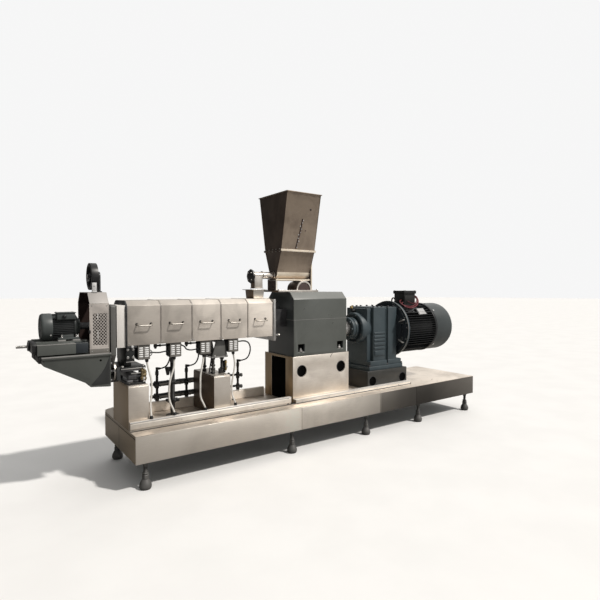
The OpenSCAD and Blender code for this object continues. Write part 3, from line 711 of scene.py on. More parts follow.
RED = [
    ([(2548, 268, 1086), (2536, 268, 1086), (2523, 266, 1084), (2511, 260.7, 1078.8), (2503, 252, 1070), (2501, 243, 1061.5), (2503, 233, 1052),
      (2511, 225.3, 1044), (2523, 220, 1039), (2540, 217, 1036), (2570, 215, 1030), (2606, 213, 1027), (2646, 214, 1034), (2682, 219, 1048),
      (2710, 227, 1065), (2729, 236, 1082), (2739, 246, 1099), (2737.5, 255.5, 1114), (2728, 261.5, 1122), (2715, 263.6, 1124), (2702, 264, 1124)], 12),
    ([(2548, 252, 1064), (2538, 252, 1064), (2527, 249, 1061), (2519, 243, 1055), (2516, 234, 1047), (2519, 225, 1038), (2529, 216, 1030),
      (2550, 208, 1022), (2600, 200, 1014), (2648, 201, 1023), (2688, 207, 1040), (2715, 218, 1059), (2735, 233, 1079), (2746, 252, 1097),
      (2744, 270, 1108), (2730, 282, 1112), (2702, 284, 1112)], 12),
    ([(2586, 244, 1078), (2586, 234, 1077), (2589, 225, 1073), (2597, 218, 1067), (2610, 214, 1060), (2634, 212, 1056), (2662, 214, 1061),
      (2688, 219, 1073), (2706, 227, 1086), (2716, 237, 1096), (2719, 245, 1103), (2713, 250, 1106), (2702, 250, 1106)], 6),
]
for i, (pts, d) in enumerate(RED):
    cord_tube("motor_cable_%d" % (i + 1), pts, d, "red_cable")

b = Build()
for c in CONDUITS:
    x, y, z = c[0]
    b.cyl((x, y, z), "z", -10, 12.5, 6, 1.2)
    b.lathe([(-10, 0), (-10, 11), (-20, 10), (-22, 8.6), (-22, 0)], (x, y, z), "z", 16)
    x, y, z = c[-1]
    b.cyl((x, y, z), "z", 9, 12.0, 6, 1.2)
    b.lathe([(9, 0), (9, 10.6), (17, 9.8), (19, 8.4), (19, 0)], (x, y, z), "z", 16)
b.done("conduit_glands", "frame", "black_plastic", bevel=0.4)
b = Build()
for pts, d in HOSES:
    for e, f in ((0, 1), (-1, -2)):
        p, q = Vector(pts[e]), Vector(pts[f])
        t = (q - p).normalized()
        axis = "xyz"[max(range(3), key=lambda k: abs(t[k]))]
        s = 1 if t["xyz".index(axis)] > 0 else -1
        b.cyl(tuple(p), axis, s * 8, d * 0.95, 6, 0.8)
        b.lathe([(s * 8, 0), (s * 8, d * 0.78), (s * 15, d * 0.72), (s * 16, d * 0.6), (s * 16, 0)], tuple(p), axis, 16)
b.done("hose_fittings", "frame", "dark_steel", bevel=0.3)


# ------------------------------------------------------- covers and barrel
b = Build()
droop = [15, 14, 17, 32, 24]
for x0, a in zip(COVER_X, droop):
    cx = x0 + 100
    c, s = math.cos(math.radians(a)), math.sin(math.radians(a))

    def hp(dx, out):
        return (cx + dx, 165 - out * c, 978 - out * s)
    pts = [hp(-44, -2), hp(-44, 6), hp(-44, 22)]
    pts += [hp(-44 + 9 - 9 * math.cos(math.radians(k)), 23 + 9 * math.sin(math.radians(k))) for k in (15, 35, 55, 75, 90)]
    pts += [hp(0, 32.4)]
    pts += [hp(44 - 9 + 9 * math.sin(math.radians(k)), 23 + 9 * math.cos(math.radians(k))) for k in (0, 15, 35, 55, 75)]
    pts += [hp(44, 22), hp(44, 6), hp(44, -2)]
    b.tube(pts, 4.0, 12)
o = b.done("cover_handles_bent", "frame", "handle_steel", sharp=60)
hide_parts("cover_handles")
b = Build()
for x0 in COVER_X:
    for dx in (-44, 44):
        b.lathe([(0, 0), (0, 8.5), (-2.2, 8.0), (-4.0, 6.0), (-4.0, 0)], (x0 + 100 + dx, 165, 978), "y", 20)
b.done("handle_rosettes", "frame", "black_iron")

# rolled lips at the covers' joints, dented as the sheet is
b = Build()
for i, x0 in enumerate(COVER_X):
    for side in (0, 1):
        x = x0 + (1.2 if side == 0 else 205.6)
        r = 1.0 if side == 0 else 2.2
        if i == 4 and side == 1:
            r = 1.3
        path = [(x, 164.6, 849)]
        for z in range(880, 1080, 24):
            path.append((x + random.uniform(-0.8, 0.5), 164.6 - random.uniform(0.0, 0.9), z))
        path += [(x, 164.6, 1091), (x, 166.5, 1094), (x, 203.4, 1121.4), (x, 207, 1122.2), (x, 413, 1122.2), (x, 416.6, 1121.4),
                 (x, 453.5, 1094), (x, 455.4, 1091), (x, 455.4, 849)]
        b.tube(path, r, 8)
b.done("cover_lips", "frame", "stainless_bright", sharp=60)
b = Build()
for i, x0 in enumerate(COVER_X):
    for dx in (9, 198):
        for y, s in ((165, -1), (455, 1)):
            b.lathe([(0, 0), (0, 4.2), (s * 1.4, 3.6), (s * 2.4, 1.6), (s * 2.4, 0)], (x0 + dx, y, 860), "y", 14)
b.done("cover_screws", "frame", "bare_steel")

# the dark plate that closes the first cover, and the pale box before it
b = Build()
ring_o = [(172, 850), (172, 1090), (208, 1117), (412, 1117), (448, 1090), (448, 850)]
b.prism([(172, 850), (172, 1090), (208, 1117), (412, 1117), (448, 1090), (448, 1048), (214, 1048), (214, 850)], "x", -2, 3)
b.prism([(406, 850), (406, 1048), (448, 1048), (448, 850)], "x", -2, 3)
b.prism([(214, 850), (214, 896), (406, 896), (406, 850)], "x", -2, 3)
b.prism([(165.6, 848), (165.6, 1091), (172, 1090), (172, 850)], "x", 1, 5.6)
b.prism([(165.6, 1091), (206, 1121), (208, 1117), (172, 1090)], "x", 1, 5.6)
b.prism([(206, 1121), (414, 1121), (412, 1117), (208, 1117)], "x", 1, 5.6)
b.prism([(414, 1121), (454.4, 1091), (448, 1090), (412, 1117)], "x", 1, 5.6)
b.prism([(454.4, 1091), (454.4, 848), (448, 850), (448, 1090)], "x", 1, 5.6)
o = b.done("cover_end_closure", "frame", "dark_steel", bevel=0.4)
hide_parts("cover_end_plate")
b = Build()
b.box(-52, -2.2, 180, 184, 838, 1095)
b.box(-52, -2.2, 436, 440, 838, 1095)
b.box(-52, -2.2, 184, 436, 838, 842)
b.box(-52, -2.2, 184, 436, 1091, 1095)
b.box(-52.0, -49.0, 179.3, 181, 838, 1095)
b.done("cover_end_box", "frame", "pale_panel", bevel=0.8)
b = Build()
b.box(-51.5, -49.5, 186, 434, 844, 1089)
b.box(-62, -40, 214, 406, 897, 1047)
b.done("cover_end_shadow", "frame", "black_rubber", bevel=0.4)
b = Build()
b.box(2, 62, 166, 172, 834, 847)
b.box(-2, 2, 176, 440, 840, 848)
b.done("cover_rest", "frame", "dark_steel", bevel=0.8)
b = Build()
b.bolt(35, 166, 841, "y", 8, 5)
b.bolt(1, 192, 700, "z", 9, 6, 1)
b.done("cover_rest_bolts", "frame", "plate_white", bevel=0.3)

# barrel end: the plate's nuts and the die's bolts
b = Build()
for k in range(8):
    a = math.radians(22.5 + 45 * k)
    b.bolt(-94, 310 + 99 * math.cos(a), 972 + 99 * math.sin(a), "x", 10, 7)
b.done("die_bolts", "frame", "dark_steel", bevel=0.4)
b = Build()
for y, z in ((182, 1078), (182, 860), (438, 1078), (438, 860), (182, 968), (438, 968)):
    b.bolt(-94, y, z, "x", 12, 8)
b.done("plate_bolts", "frame", "dark_steel", bevel=0.4)

# collars' bolts on the barrel, seen through the gaps and from below
b = Build()
for x0 in COVER_X:
    for y in (232, 388):
        for z in (912, 1032):
            b.bolt(x0 - 22, y - 6 if y < 300 else y + 6, z, "x", 9, 7)
b.done("barrel_bolts", "frame", "dark_steel", bevel=0.4)


# ---------------------------------------------------------- terminal boxes
b = Build()
for x in BOX_X:
    b.box(x, x + 74, 176, 238, 757, 846)
    b.box(x + 20, x + 54, 184, 228, 846, 900)
    # frame of the louvred face
    for x0, x1 in ((x, x + 6), (x + 33, x + 40), (x + 68, x + 74)):
        b.box(x0, x1, 172, 177, 757, 846)
    for z0, z1 in ((757, 768), (836, 846)):
        b.box(x + 5.5, x + 68.5, 172.4, 177, z0, z1)
o = b.done("terminal_boxes_body", "frame", "box_grey", bevel=0.9)
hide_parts("terminal_boxes")
b = Build()
for x in BOX_X:
    for x0, x1 in ((x + 7, x + 31.5), (x + 41.5, x + 67)):
        for k in range(5):
            z = 774.5 + 13.2 * k
            cx = (x0 + x1) / 2
            w = (x1 - x0) / 2
            b.prism([(172.2, z - 3.6), (176.5, z - 3.6), (176.5, z + 4.4), (174.6, z + 4.4)], "x", x0, x1)
b.done("terminal_louvres", "frame", "plate_white", bevel=0.8)
# black plates on the boxes' -x sides and a black strip under each box: painted shade on those faces
b = Build()
for x in BOX_X:
    b.box(x - 1.2, x, 178, 236, 760, 843)
    b.box(x - 7, x - 1, 216, 234, 764, 846)
    for z in (772, 832):
        b.lathe([(0, 0), (0, 3.6), (-2.4, 3.0), (-2.4, 0)], (x - 1.2, 186, z), "x", 12)
    b.box(x + 3, x + 71, 181, 233, 754.5, 757)
b.done("terminal_sides", "frame", "black_plastic", bevel=0.5)
b = Build()
for x in (275, 483):
    b.lathe([(0, 0), (0, 9), (3, 13), (12, 14), (17, 12), (22, 6.5), (34, 6.0), (35, 8.5), (44, 8.5), (45, 5.5), (90, 5.5), (90, 0)],
            (x - 92, 214, 832), "x", 20)
    b.lathe([(0, 0), (0, 7.5), (-6, 7.5), (-9, 4), (-9, 0)], (x - 82, 214, 832 - 11), "z", 14)
b.done("heater_plugs", "frame", "black_plastic", bevel=0.3)
b = Build()
for x in BOX_X:
    b.cyl((x + 37, 206, 757), "z", -7, 7, 6, 0.8)
    for y in (190, 222):
        b.bolt(x + 12, y, 846, "z", 5, 4, 1)
        b.bolt(x + 62, y, 846, "z", 5, 4, 1)
b.done("terminal_screws", "frame", "bare_steel", bevel=0.3)


# -------------------------------------------------- supports and pipework
b = Build()
for x in (22 + 12, 84 + 12):
    for y in (186, 446):
        b.bolt(x - 12 if x < 60 else x + 12, y + (12 if y < 300 else -12), 618, "z", 9, 7, 1)
for x in (-18, 108):
    for y in (196, 440):
        b.bolt(x, y, 716, "z", 10, 7, 1)
        b.cyl((x, y, 702), "z", -14, 5, 12, 0.8)
for y in (200, 360):
    for x in (10, 42):
        b.bolt(x, 175, 775 + (y - 200) * 0.3, "y", 8, 5)
for x in (16, 108):
    for y in (180, 450):
        b.bolt(x, y, 618, "z", 9, 6, 1)
b.done("bracket_bolts", "frame", "bare_steel", bevel=0.4)
b = Build()
b.box(-26, 112, 182, 190, 690, 702)
b.box(14, 60, 178, 186, 640, 664)
b.box(60, 110, 178, 184, 652, 660)
b.cyl((4, 180, 626), "x", 36, 11, 20, 1.5)
b.box(46, 84, 200, 300, 628, 668)
b.box(20, 40, 216, 400, 640, 690)
b.done("bracket_clamps", "frame", "dark_steel", bevel=1.0)
b = Build()
b.box(48, 52, 173.5, 386, 748, 752)
b.box(-1, 51, 173, 175.2, 746, 751)
b.box(-30, 120, 178.6, 180.2, 703, 709)
b.box(30, 104, 176, 180, 672, 679)
b.done("bracket_trim", "frame", "bare_steel", bevel=0.5)

# brass drain fittings beside the left bracket
b = Build()
for x, y, z0, z1, r in ((96, 176, 630, 700, 7), (108, 180, 650, 702, 6), (118, 188, 622, 690, 6.5)):
    b.cyl((x, y, z0), "z", z1 - z0, r, 16, 1)
    b.cyl((x, y, z0 + 10), "z", 9, r * 1.7, 6, 0.8)
    b.cyl((x, y, z1 - 16), "z", 8, r * 1.6, 6, 0.8)
b.cyl((96, 176, 662), "x", 26, 6.5, 16, 0.6)
b.lathe([(0, 0), (0, 8), (-7, 8), (-9, 5), (-14, 5), (-14, 0)], (118, 188, 668), "y", 16)
b.done("drain_fittings", "frame", "brass_dull", bevel=0.3)
b = Build()
for x, z in ((106, 704), (105, 642)):
    b.lathe([(0, 0), (0, 6), (-3, 7), (-8, 6), (-9, 0)], (x, 170, z), "y", 14)
b.done("drain_caps", "frame", "plate_white")

# studs, nuts and springs of the middle support
b = Build()
for x in (604, 672):
    for y in (240, 380):
        for z in (606, 632, 704):
            b.cyl((x, y, z), "z", 13, 17, 6, 1.5)
        for k in range(14):
            b.lathe([(0, 10.0), (1.4, 11.0), (2.8, 10.0)], (x, y, 650 + k * 3.4), "z", 18)
        b.cyl((x, y, 722 + 14), "z", 13, 16, 6, 1.5)
b.cyl((690, 236, 606), "z", 84, 8, 16, 1)
b.cyl((650, 224, 606), "z", 34, 12, 16, 1)
b.done("middle_studs", "frame", "black_iron", bevel=0.3)
b = Build()
b.cyl((694, 220, 622), "z", 74, 5.5, 14, 0.6)
b.cyl((694, 220, 634), "z", 9, 10, 6, 0.8)
b.cyl((694, 220, 676), "z", 9, 9.5, 6, 0.8)
b.cyl((694, 220, 690), "y", 18, 5.5, 14, 0.6)
b.done("middle_drain", "frame", "brass_fitting", bevel=0.3)
b = Build()
b.bolt(693, 208, 650, "y", 7, 5)
for x in (598, 686):
    b.bolt(x, 198, 732, "y", 8, 6)
b.done("middle_bolts", "frame", "bare_steel", bevel=0.3)
b = Build()
b.box(576, 698, 195.5, 199, 720, 729)
b.box(576, 579.5, 196, 416, 720, 727)
b.done("trapezoid_lip", "frame", "light_grey_paint", bevel=0.7)

# jack: collar, lock nuts and the cone that catches drips beside it
b = Build()
b.lathe([(0, 0), (0, 19), (8, 19), (8, 15), (0, 15)][:3] + [(8, 15), (8, 0)], (340, 310, 812), "z", 24)
b.cyl((340, 310, 560), "z", 16, 24, 6, 1.5)
b.cyl((340, 310, 860), "z", 16, 24, 6, 1.5)
for k in range(26):
    b.lathe([(0, 15.0), (1.6, 16.2), (3.2, 15.0)], (340, 310, 456 + k * 4), "z", 20)
b.lathe([(0, 0), (0, 9), (48, 19), (53, 19), (53, 0)], (308, 310, 618), "z", 20)
b.box(310, 330, 305, 315, 655, 667)
b.done("jack_details", "frame", "black_iron", bevel=0.4)
b = Build()
b.lathe([(0, 15.3), (0, 16.4), (110, 16.4), (110, 15.3)], (340, 310, 700), "z", 24)
b.done("jack_band", "frame", "dark_steel")

# painted highlight: a pale line along the front of each manifold
b = Build()
for z in (432, 520):
    b.box(294, 606, 510.4, 515.0, z - 7.5, z + 6)
    b.box(644, 876, 510.4, 515.0, z - 6, z + 5)
b.done("manifold_highlights", "frame", "light_grey_paint", bevel=0.6)
# valves: handles and unions on the risers; caps on the manifolds
b = Build()
for x in (299, 516, 937):
    for z in (432, 520):
        b.cyl((x, 500, z), "y", -24, 5, 12, 0.6)
        b.tube([(x - 20, 474, z + 7), (x - 8, 476, z + 2), (x, 476, z), (x + 8, 476, z - 2), (x + 20, 474, z - 7)], 4.2, 10)
        b.cyl((x, 500, z + 15), "z", 8, 15, 6, 1)
        b.cyl((x, 500, z - 23), "z", 8, 15, 6, 1)
for z in (432, 520):
    b.cyl((290, 530, z), "x", 12, 23, 8, 1.5)
    b.cyl((868, 530, z), "x", 12, 23, 8, 1.5)
    b.cyl((955, 530, z), "x", 12, 13, 6, 1.5)
    b.cyl((962, 500, z), "x", 12, 15, 6, 1.2)
    for x in (380, 470, 760):
        b.cyl((x, 530, z), "x", 16, 21.5, 6, 1.5)
b.done("valve_details", "frame", "black_iron", bevel=0.3)
b = Build()
for z in (512, 543, 571, 596):
    b.bolt(124, 176, z, "x", 7, 6, 1)
b.done("pedestal_nuts", "frame", "black_iron", bevel=0.3)
b = Build()
for x0 in (0, 563):
    for z in (350,):
        for x in (x0 + 14, x0 + 110):
            b.bolt(x, 136, z, "y", 6, 4)
b.done("pedestal_bolts", "frame", "bare_steel", bevel=0.3)


# ------------------------------------------------------------------- base
b = Build()
for x in (70, 1138, 1878, 2520, 3210):
    for y in (46, 664):
        b.lathe([(0, 0), (0, 30), (1.2, 31), (8, 34.6), (13, 36.2), (19, 36.5), (25, 36.0), (32, 34.2), (40, 30.8), (48, 26.8), (56, 22.4), (60, 20.4), (60, 0)],
                (x, y, 0), "z", 40)
        b.cyl((x, y, 60), "z", 26, 21, 6, 2.0)
        prof = [(86, 0), (86, 10.8)]
        z = 87.0
        while z < 138:
            prof += [(z, 10.6), (z + 1.25, 12.0), (z + 2.5, 10.6)]
            z += 2.5
        prof += [(140, 10.6), (140, 0)]
        b.lathe(prof, (x, y, 0), "z", 24)
        b.cyl((x, y, 90), "z", 9, 19.5, 6, 1.6)
        b.lathe([(136, 0), (136, 12.6), (138, 13), (152, 16.5), (154, 18.8), (167, 19), (167, 0)], (x, y, 0), "z", 28)
o = b.done("levelling_feet_turned", "frame", "foot_iron", bevel=0.0, sharp=30)
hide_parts("levelling_feet")
b = Build()
for x0, x1 in ((0, 1172), (1212, 2480)):
    x = x0 + 60
    while x < x1 - 20:
        b.lathe([(0, 0), (0, 4.0), (-1.6, 3.2), (-2.2, 0)], (x, 103.4 if x0 == 0 else 98, 364 if x0 == 0 else 347), "y", 12)
        x += 262
for x in range(120, 1160, 255):
    b.lathe([(0, 0), (0, 4.0), (1.8, 3.0), (2.2, 0)], (x, 508, 404.4), "z", 12)
b.done("duct_screws", "frame", "bare_steel")
b = Build()
b.box(883, 903, 480, 492, 335, 343)
b.box(1140, 1150, 105, 132, 340, 388)
b.done("duct_fittings", "frame", "dark_steel", bevel=0.6)


# bright strips along the ducts; those on the top edges are painted highlights
b = Build()
b.box(1213, 2478, 97.0, 98.6, 359, 364.6)
b.box(1213, 2478, 96.8, 98.6, 340, 343)
b.box(1213, 2478, 130, 134.6, 363.6, 365.0)
b.box(1, 1171, 102.2, 103.6, 386, 392.6)
b.done("duct_rails_and_highlights", "frame", "plate_white", bevel=0.3)
# dark strips along the ducts' feet and at their ends: painted shadow
b = Build()
b.box(1213, 2478, 96.2, 98.4, 335, 339)
b.box(2478, 2486, 98, 134, 335, 352)
b.box(1173, 1211, 104, 133, 335, 341)
b.box(1, 1171, 100.8, 103.4, 335, 338.5)
b.done("duct_foot_shadow", "frame", "black_rubber", bevel=0.3)
b = Build()
b.box(-0.7, 0.5, 6, 704, 314, 319)
b.box(-0.6, 0.5, 352, 355, 170, 314)
b.done("end_seam", "frame", "black_rubber", bevel=0.2)


# ---------------------------------------------------------------- gearbox
b = Build()
b.box(1216.6, 1745.4, 136.6, 501.4, 956.8, 959.2)
b.done("gearbox_joint", "frame", "light_grey_paint", bevel=0.5)
b = Build()
for x in (1260, 1646):
    for y in (138, 500):
        yy = y + 14 if y < 300 else y - 14
        b.cyl((x + 30, yy, 712), "z", 30, 8, 16, 1)
        b.cyl((x + 30, yy, 713), "z", 3, 18, 20, 0.6)
        b.cyl((x + 30, yy, 716), "z", 13, 15, 6, 1.5)
b.done("gearbox_hold_down", "frame", "bare_steel", bevel=0.3)
# black backs in the gearbox's bolt pockets: painted shade in the recesses
b = Build()
for x in (1260, 1646):
    b.box(x + 1, x + 60, 158, 167.6, 713, 771)
b.done("pocket_back", "frame", "painted_shade_black")
b = Build()
for x0, x1 in ((1210, 1218), (1744, 1752)):
    b.box(1214, 1750, 139, 499, 676, 681)
b.done("gearbox_shim", "frame", "dark_steel", bevel=0.5)
# the input bearing cover and its bolts, on the gearbox's right face
b = Build()
b.lathe([(0, 0), (0, 112), (10, 110), (14, 96), (14, 0)], (1744, 310, 850), "x", 48)
for x, z, r, s in ((1754, 850, 102, 1),):
    for k in range(8):
        a = math.radians(22.5 + 45 * k)
        b.bolt(x, 310 + r * math.cos(a) * 0.98, z + r * math.sin(a) * 0.98, "x", 8, 5, s)
b.done("bearing_covers", "frame", "dark_paint", bevel=0.5)
b = Build()
b.lathe([(0, 13.2), (0, 17), (3, 17), (3, 13.2)], (1076, 190, 850), "x", 24)
b.cyl((1112, 190, 850), "x", 10, 8.5, 6, 1)
for y, z in ((180, 830), (180, 1100), (440, 830), (440, 1100), (180, 960), (440, 960)):
    b.bolt(1076, y, z, "x", 8, 6, 1)
b.done("flange_fitting", "frame", "stainless_bright", bevel=0.3)
b = Build()
for x in (1292, 1683):
    b.lathe([(0, 42), (0, 45.5), (-1.8, 44.8), (-2.2, 42)], (x, 136, 568), "y", 40)
for x in (2042, 2411):
    b.lathe([(0, 40), (0, 43.5), (-1.8, 42.8), (-2.2, 40)], (x, 136, 402), "y", 40)
b.done("hole_rims", "frame", "dark_steel")
# black discs behind the plinths' round holes: painted shade inside them
b = Build()
for x in (1292, 1683):
    b.lathe([(0, 41.4), (0.6, 41.8), (0.6, 0)], (x, 139.5, 568), "y", 40)
for x in (2042, 2411):
    b.lathe([(0, 39.4), (0.6, 39.8), (0.6, 0)], (x, 139.5, 402), "y", 40)
b.done("hole_backs", "frame", "painted_shade_black")
# a black sheet inside the gearbox plinth's -x end: painted shade
b = Build()
b.box(1212, 1222, 236, 436, 340, 672)
b.done("plinth_inside", "frame", "painted_shade_black")
b = Build()
for x in (1222, 1754):
    for z in (350,):
        b.bolt(x, 136, z, "y", 7, 5)
for x in (1240, 1500, 1740):
    b.bolt(x, 128, 335, "z", 8, 6, 1)
b.done("plinth_bolts", "frame", "bare_steel", bevel=0.3)
# the crack-like weld mark under the gearbox
b = Build()
b.tube([(1592, 135.6, 680), (1586, 135.4, 668), (1578, 135.6, 662), (1576, 135.6, 650)], 1.6, 8)
b.done("plinth_mark", "frame", "dark_steel")

# coupling
b = Build()
b.lathe([(0, 0), (0, 62), (4, 66), (30, 66), (32, 70), (60, 70), (62, 64), (70, 64), (72, 70), (108, 70), (110, 66), (148, 66), (148, 0)],
        (1744, 310, 850), "x", 48)
o = b.done("coupling_drum", "frame", "bare_steel", bevel=0.6)
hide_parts("drive_coupling")
b = Build()
b.lathe([(0, 0), (0, 92), (4, 96), (26, 96), (28, 90), (36, 90), (38, 96), (66, 96), (70, 92), (70, 0)], (1892, 310, 850), "x", 56)
for k in range(8):
    a = math.radians(45 * k)
    b.bolt(1892, 310 + 80 * math.cos(a), 850 + 80 * math.sin(a), "x", 12, 9)
b.done("coupling_disc", "frame", "blue_grey_paint", bevel=0.6)


# --------------------------------------------------------- reducer
b = Build()
b.box(2017, 2430, 150, 486, 488, 524)
b.box(2034, 2236, 156, 480, 524, 568)
b.box(2248, 2416, 156, 480, 524, 568)
b.box(2073, 2216, 160, 470, 560, 1034)
b.box(2214, 2252, 174, 456, 560, 1026)
b.box(2250, 2359, 160, 470, 560, 1032)
b.box(2020, 2078, 190, 446, 560, 1024)
for z0, z1 in ((800, 818), (768, 790), (736, 758), (700, 726), (668, 690)):
    b.box(2080, 2212, 154.0, 166, z0, z1)
b.box(2086, 2208, 153.0, 166, 612, 656)
b.box(2226, 2234, 168, 180, 568, 1020)
b.lathe([(0, 0), (0, 200), (17, 200), (17, 0)], (2359, 310, 826), "x", 56)
o = b.done("reducer_housing", "frame", "blue_grey_paint", bevel=6, segments=3)
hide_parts("reducer")
b = Build()
b.lathe([(111, 0), (111, 132), (84, 132), (80, 136), (12, 136), (5, 133.5), (1.5, 129), (0, 123), (0, 112), (10, 108), (10, 0)],
        (1962, 310, 850), "x", 72)
b.done("reducer_boss", "frame", "blue_grey_paint", bevel=1.5, segments=2)
b = Build()
for k in range(8):
    a = math.radians(22.5 + 45 * k)
    b.bolt(1962, 310 + 118 * math.cos(a), 850 + 118 * math.sin(a), "x", 7, 4)
for x in (2090, 2140, 2190, 2268, 2340):
    b.bolt(x, 182, 1033, "z", 11, 9, 1)
    b.bolt(x, 448, 1033, "z", 11, 9, 1)
for x in (2034, 2056):
    b.bolt(x, 208, 1024, "z", 9, 7, 1)
for x in (2030, 2242, 2420):
    for y in (166, 470):
        b.bolt(x, y, 524, "z", 15, 12, 1)
b.done("reducer_bolts", "frame", "dark_steel", bevel=0.4)
b = Build()
b.cyl((2020, 345, 1000), "x", -14, 17, 8, 1.5)
b.cyl((2006, 345, 1000), "x", -12, 12, 16, 1)
b.tube([(1996, 345, 1000), (1988, 345, 1004), (1984, 345, 1012), (1984, 345, 1022)], 11, 14)
b.done("breather_pipe", "frame", "black_iron", bevel=0.4)
b = Build()
b.cyl((1984, 345, 1020), "z", 10, 15, 6, 1.5)
b.lathe([(0, 0), (0, 11), (8, 12), (12, 10), (14, 6), (14, 0)], (1984, 345, 1030), "z", 20)
b.done("breather_cap", "frame", "brass_fitting", bevel=0.3)
b = Build()
b.box(2022, 2072, 186, 194, 572, 1020)
b.box(2018, 2024, 196, 440, 572, 1020)
b.done("reducer_shaded_end", "frame", "blue_grey_paint", bevel=3, segments=2)


# --------------------------------------------------------------- main motor
b = Build()
b.lathe([(0, 0), (0, 201.2), (16.2, 201.2), (16.2, 248.5), (17.6, 248.5), (17.6, 0)], (2358.4, 310, 826), "x", 72)
b.done("adapter_paint", "frame", "blue_dark")
# two webs in light grey, lighter than the green ribs beside them: painted light
b = Build()
for d_ in (158, 206):
    c_, s_ = math.cos(math.radians(d_)), math.sin(math.radians(d_))
    b.prism([(310 + r_ * c_ - t_ * s_, 826 + r_ * s_ + t_ * c_) for r_, t_ in ((196, -3.5), (250, -3.5), (250, 3.5), (196, 3.5))],
            "x", 2350, 2376.5)
b.done("adapter_webs_lit", "frame", "light_grey_paint", bevel=0.8)
b = Build()
for k in range(8):
    a = 18 + 45 * k
    m = Matrix.Rotation(math.radians(a), 3, "X")
    quads = []
    for r0, r1, x0, x1 in ((196, 250, 2368, 2401),):
        vs = []
        for x in (x0, x1):
            for rr in (r0, (r1 if x == x1 else r0 + 18)):
                for t in (-5, 5):
                    v = m @ Vector((0, -rr, t))
                    vs.append(b.bm.verts.new(P(x, 310 + v.y, 826 + v.z)))
        for f in ((0, 1, 3, 2), (4, 6, 7, 5), (0, 4, 5, 1), (2, 3, 7, 6), (0, 2, 6, 4), (1, 5, 7, 3)):
            b.bm.faces.new([vs[i] for i in f])
for z0, z1 in ((884, 893), (740, 749)):
    b.prism([(2362, 112), (2398, 62), (2398, 170), (2362, 170)], "z", z0, z1)
    b.prism([(2362, 508), (2362, 450), (2398, 450), (2398, 558)], "z", z0, z1)
b.done("adapter_ribs", "frame", "motor_green", bevel=1.5)
# a light grey ring on the flange's rim: painted highlight
b = Build()
b.lathe([(0, 253), (-1.4, 255.4), (0, 256.4), (3, 256.0)], (2400.4, 310, 826), "x", 96)
b.done("adapter_edge_highlight", "frame", "light_grey_paint")
b = Build()
for k in range(8):
    a = math.radians(40.5 + 45 * k)
    b.bolt(2400, 310 + 236 * math.cos(a), 826 + 236 * math.sin(a), "x", 13, 10)
    b.bolt(2421, 310 + 244 * math.cos(a), 826 + 244 * math.sin(a), "x", 10, 6, 1)
b.done("adapter_bolts", "frame", "dark_steel", bevel=0.4)
b = Build()
b.lathe([(0, 228), (0, 232), (4, 232), (22, 232), (27, 227), (27, 200), (385, 200), (385, 226), (388, 232), (410, 232), (417, 229), (417, 0)],
        (2421, 310, 826), "x", 72)
o = b.done("motor_body", "frame", "black_paint", bevel=0.8)
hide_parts("main_motor")
b = Build()
b.lathe([(0, 226), (1, 232.6), (23, 232.6), (25, 229)], (2422, 310, 826), "x", 72)
b.done("motor_end_ring", "frame", "green_grey_paint")
b = Build()
def fin(y0, z0, y1, z1, t, x0=2449, x1=2805):
    """A straight fin between two points of the section, t thick."""
    d = Vector((0, y1 - y0, z1 - z0)).normalized()
    nrm = Vector((0, -d.z, d.y)) * (t / 2)
    vs = [b.bm.verts.new(P(x, 310 + p[0] + s * nrm.y, 826 + p[1] + s * nrm.z)) for x in (x0, x1) for p in ((y0, z0), (y1, z1)) for s in (-1, 1)]
    for f in ((0, 1, 3, 2), (4, 6, 7, 5), (0, 4, 5, 1), (2, 3, 7, 6), (0, 2, 6, 4), (1, 5, 7, 3)):
        b.bm.faces.new([vs[i] for i in f])
for s in (-1, 1):
    for k in range(-7, 7):
        z = k * 20.5 + 2
        fin(s * (math.sqrt(200 ** 2 - z * z) - 3), z, s * math.sqrt(230.5 ** 2 - z * z), z, 4.0)
    # the thick ledge over the side fins, and the slanting fins below and above them
    fin(s * 120, 150, s * math.sqrt(232 ** 2 - 150 ** 2), 150, 9)
    for k in range(7):
        c = 30 + k * 22
        # a line at 45 degrees through (c, -200..): from radius 199 to radius 230
        base = c - 160
        for r0, r1, sz in ((199, 230, -1),):
            q = []
            for r in (r0, r1):
                # y + z' = const with z' = -z: solve on the circle
                off = c / math.sqrt(2) - 28
                along = math.sqrt(max(r * r - off * off, 1))
                y = (off + along) / math.sqrt(2)
                z = (off - along) / math.sqrt(2)
                q.append((y, z))
            if q[0][1] < -146:
                fin(s * q[0][0], q[0][1], s * q[1][0], q[1][1], 4.0)
    for k in range(5):
        a = math.radians(-92 + k * 9)
        fin(s * 199 * math.cos(a), 199 * math.sin(a), s * 230 * math.cos(a), 230 * math.sin(a), 4.0)
    for k in range(4):
        a = math.radians(50 + k * 9)
        fin(s * 199 * math.cos(a), 199 * math.sin(a), s * 224 * math.cos(a), 224 * math.sin(a), 4.0, 2449, 2530)
        fin(s * 199 * math.cos(a), 199 * math.sin(a), s * 224 * math.cos(a), 224 * math.sin(a), 4.0, 2730, 2805)
b.done("motor_fins", "frame", "black_paint", bevel=0.9)
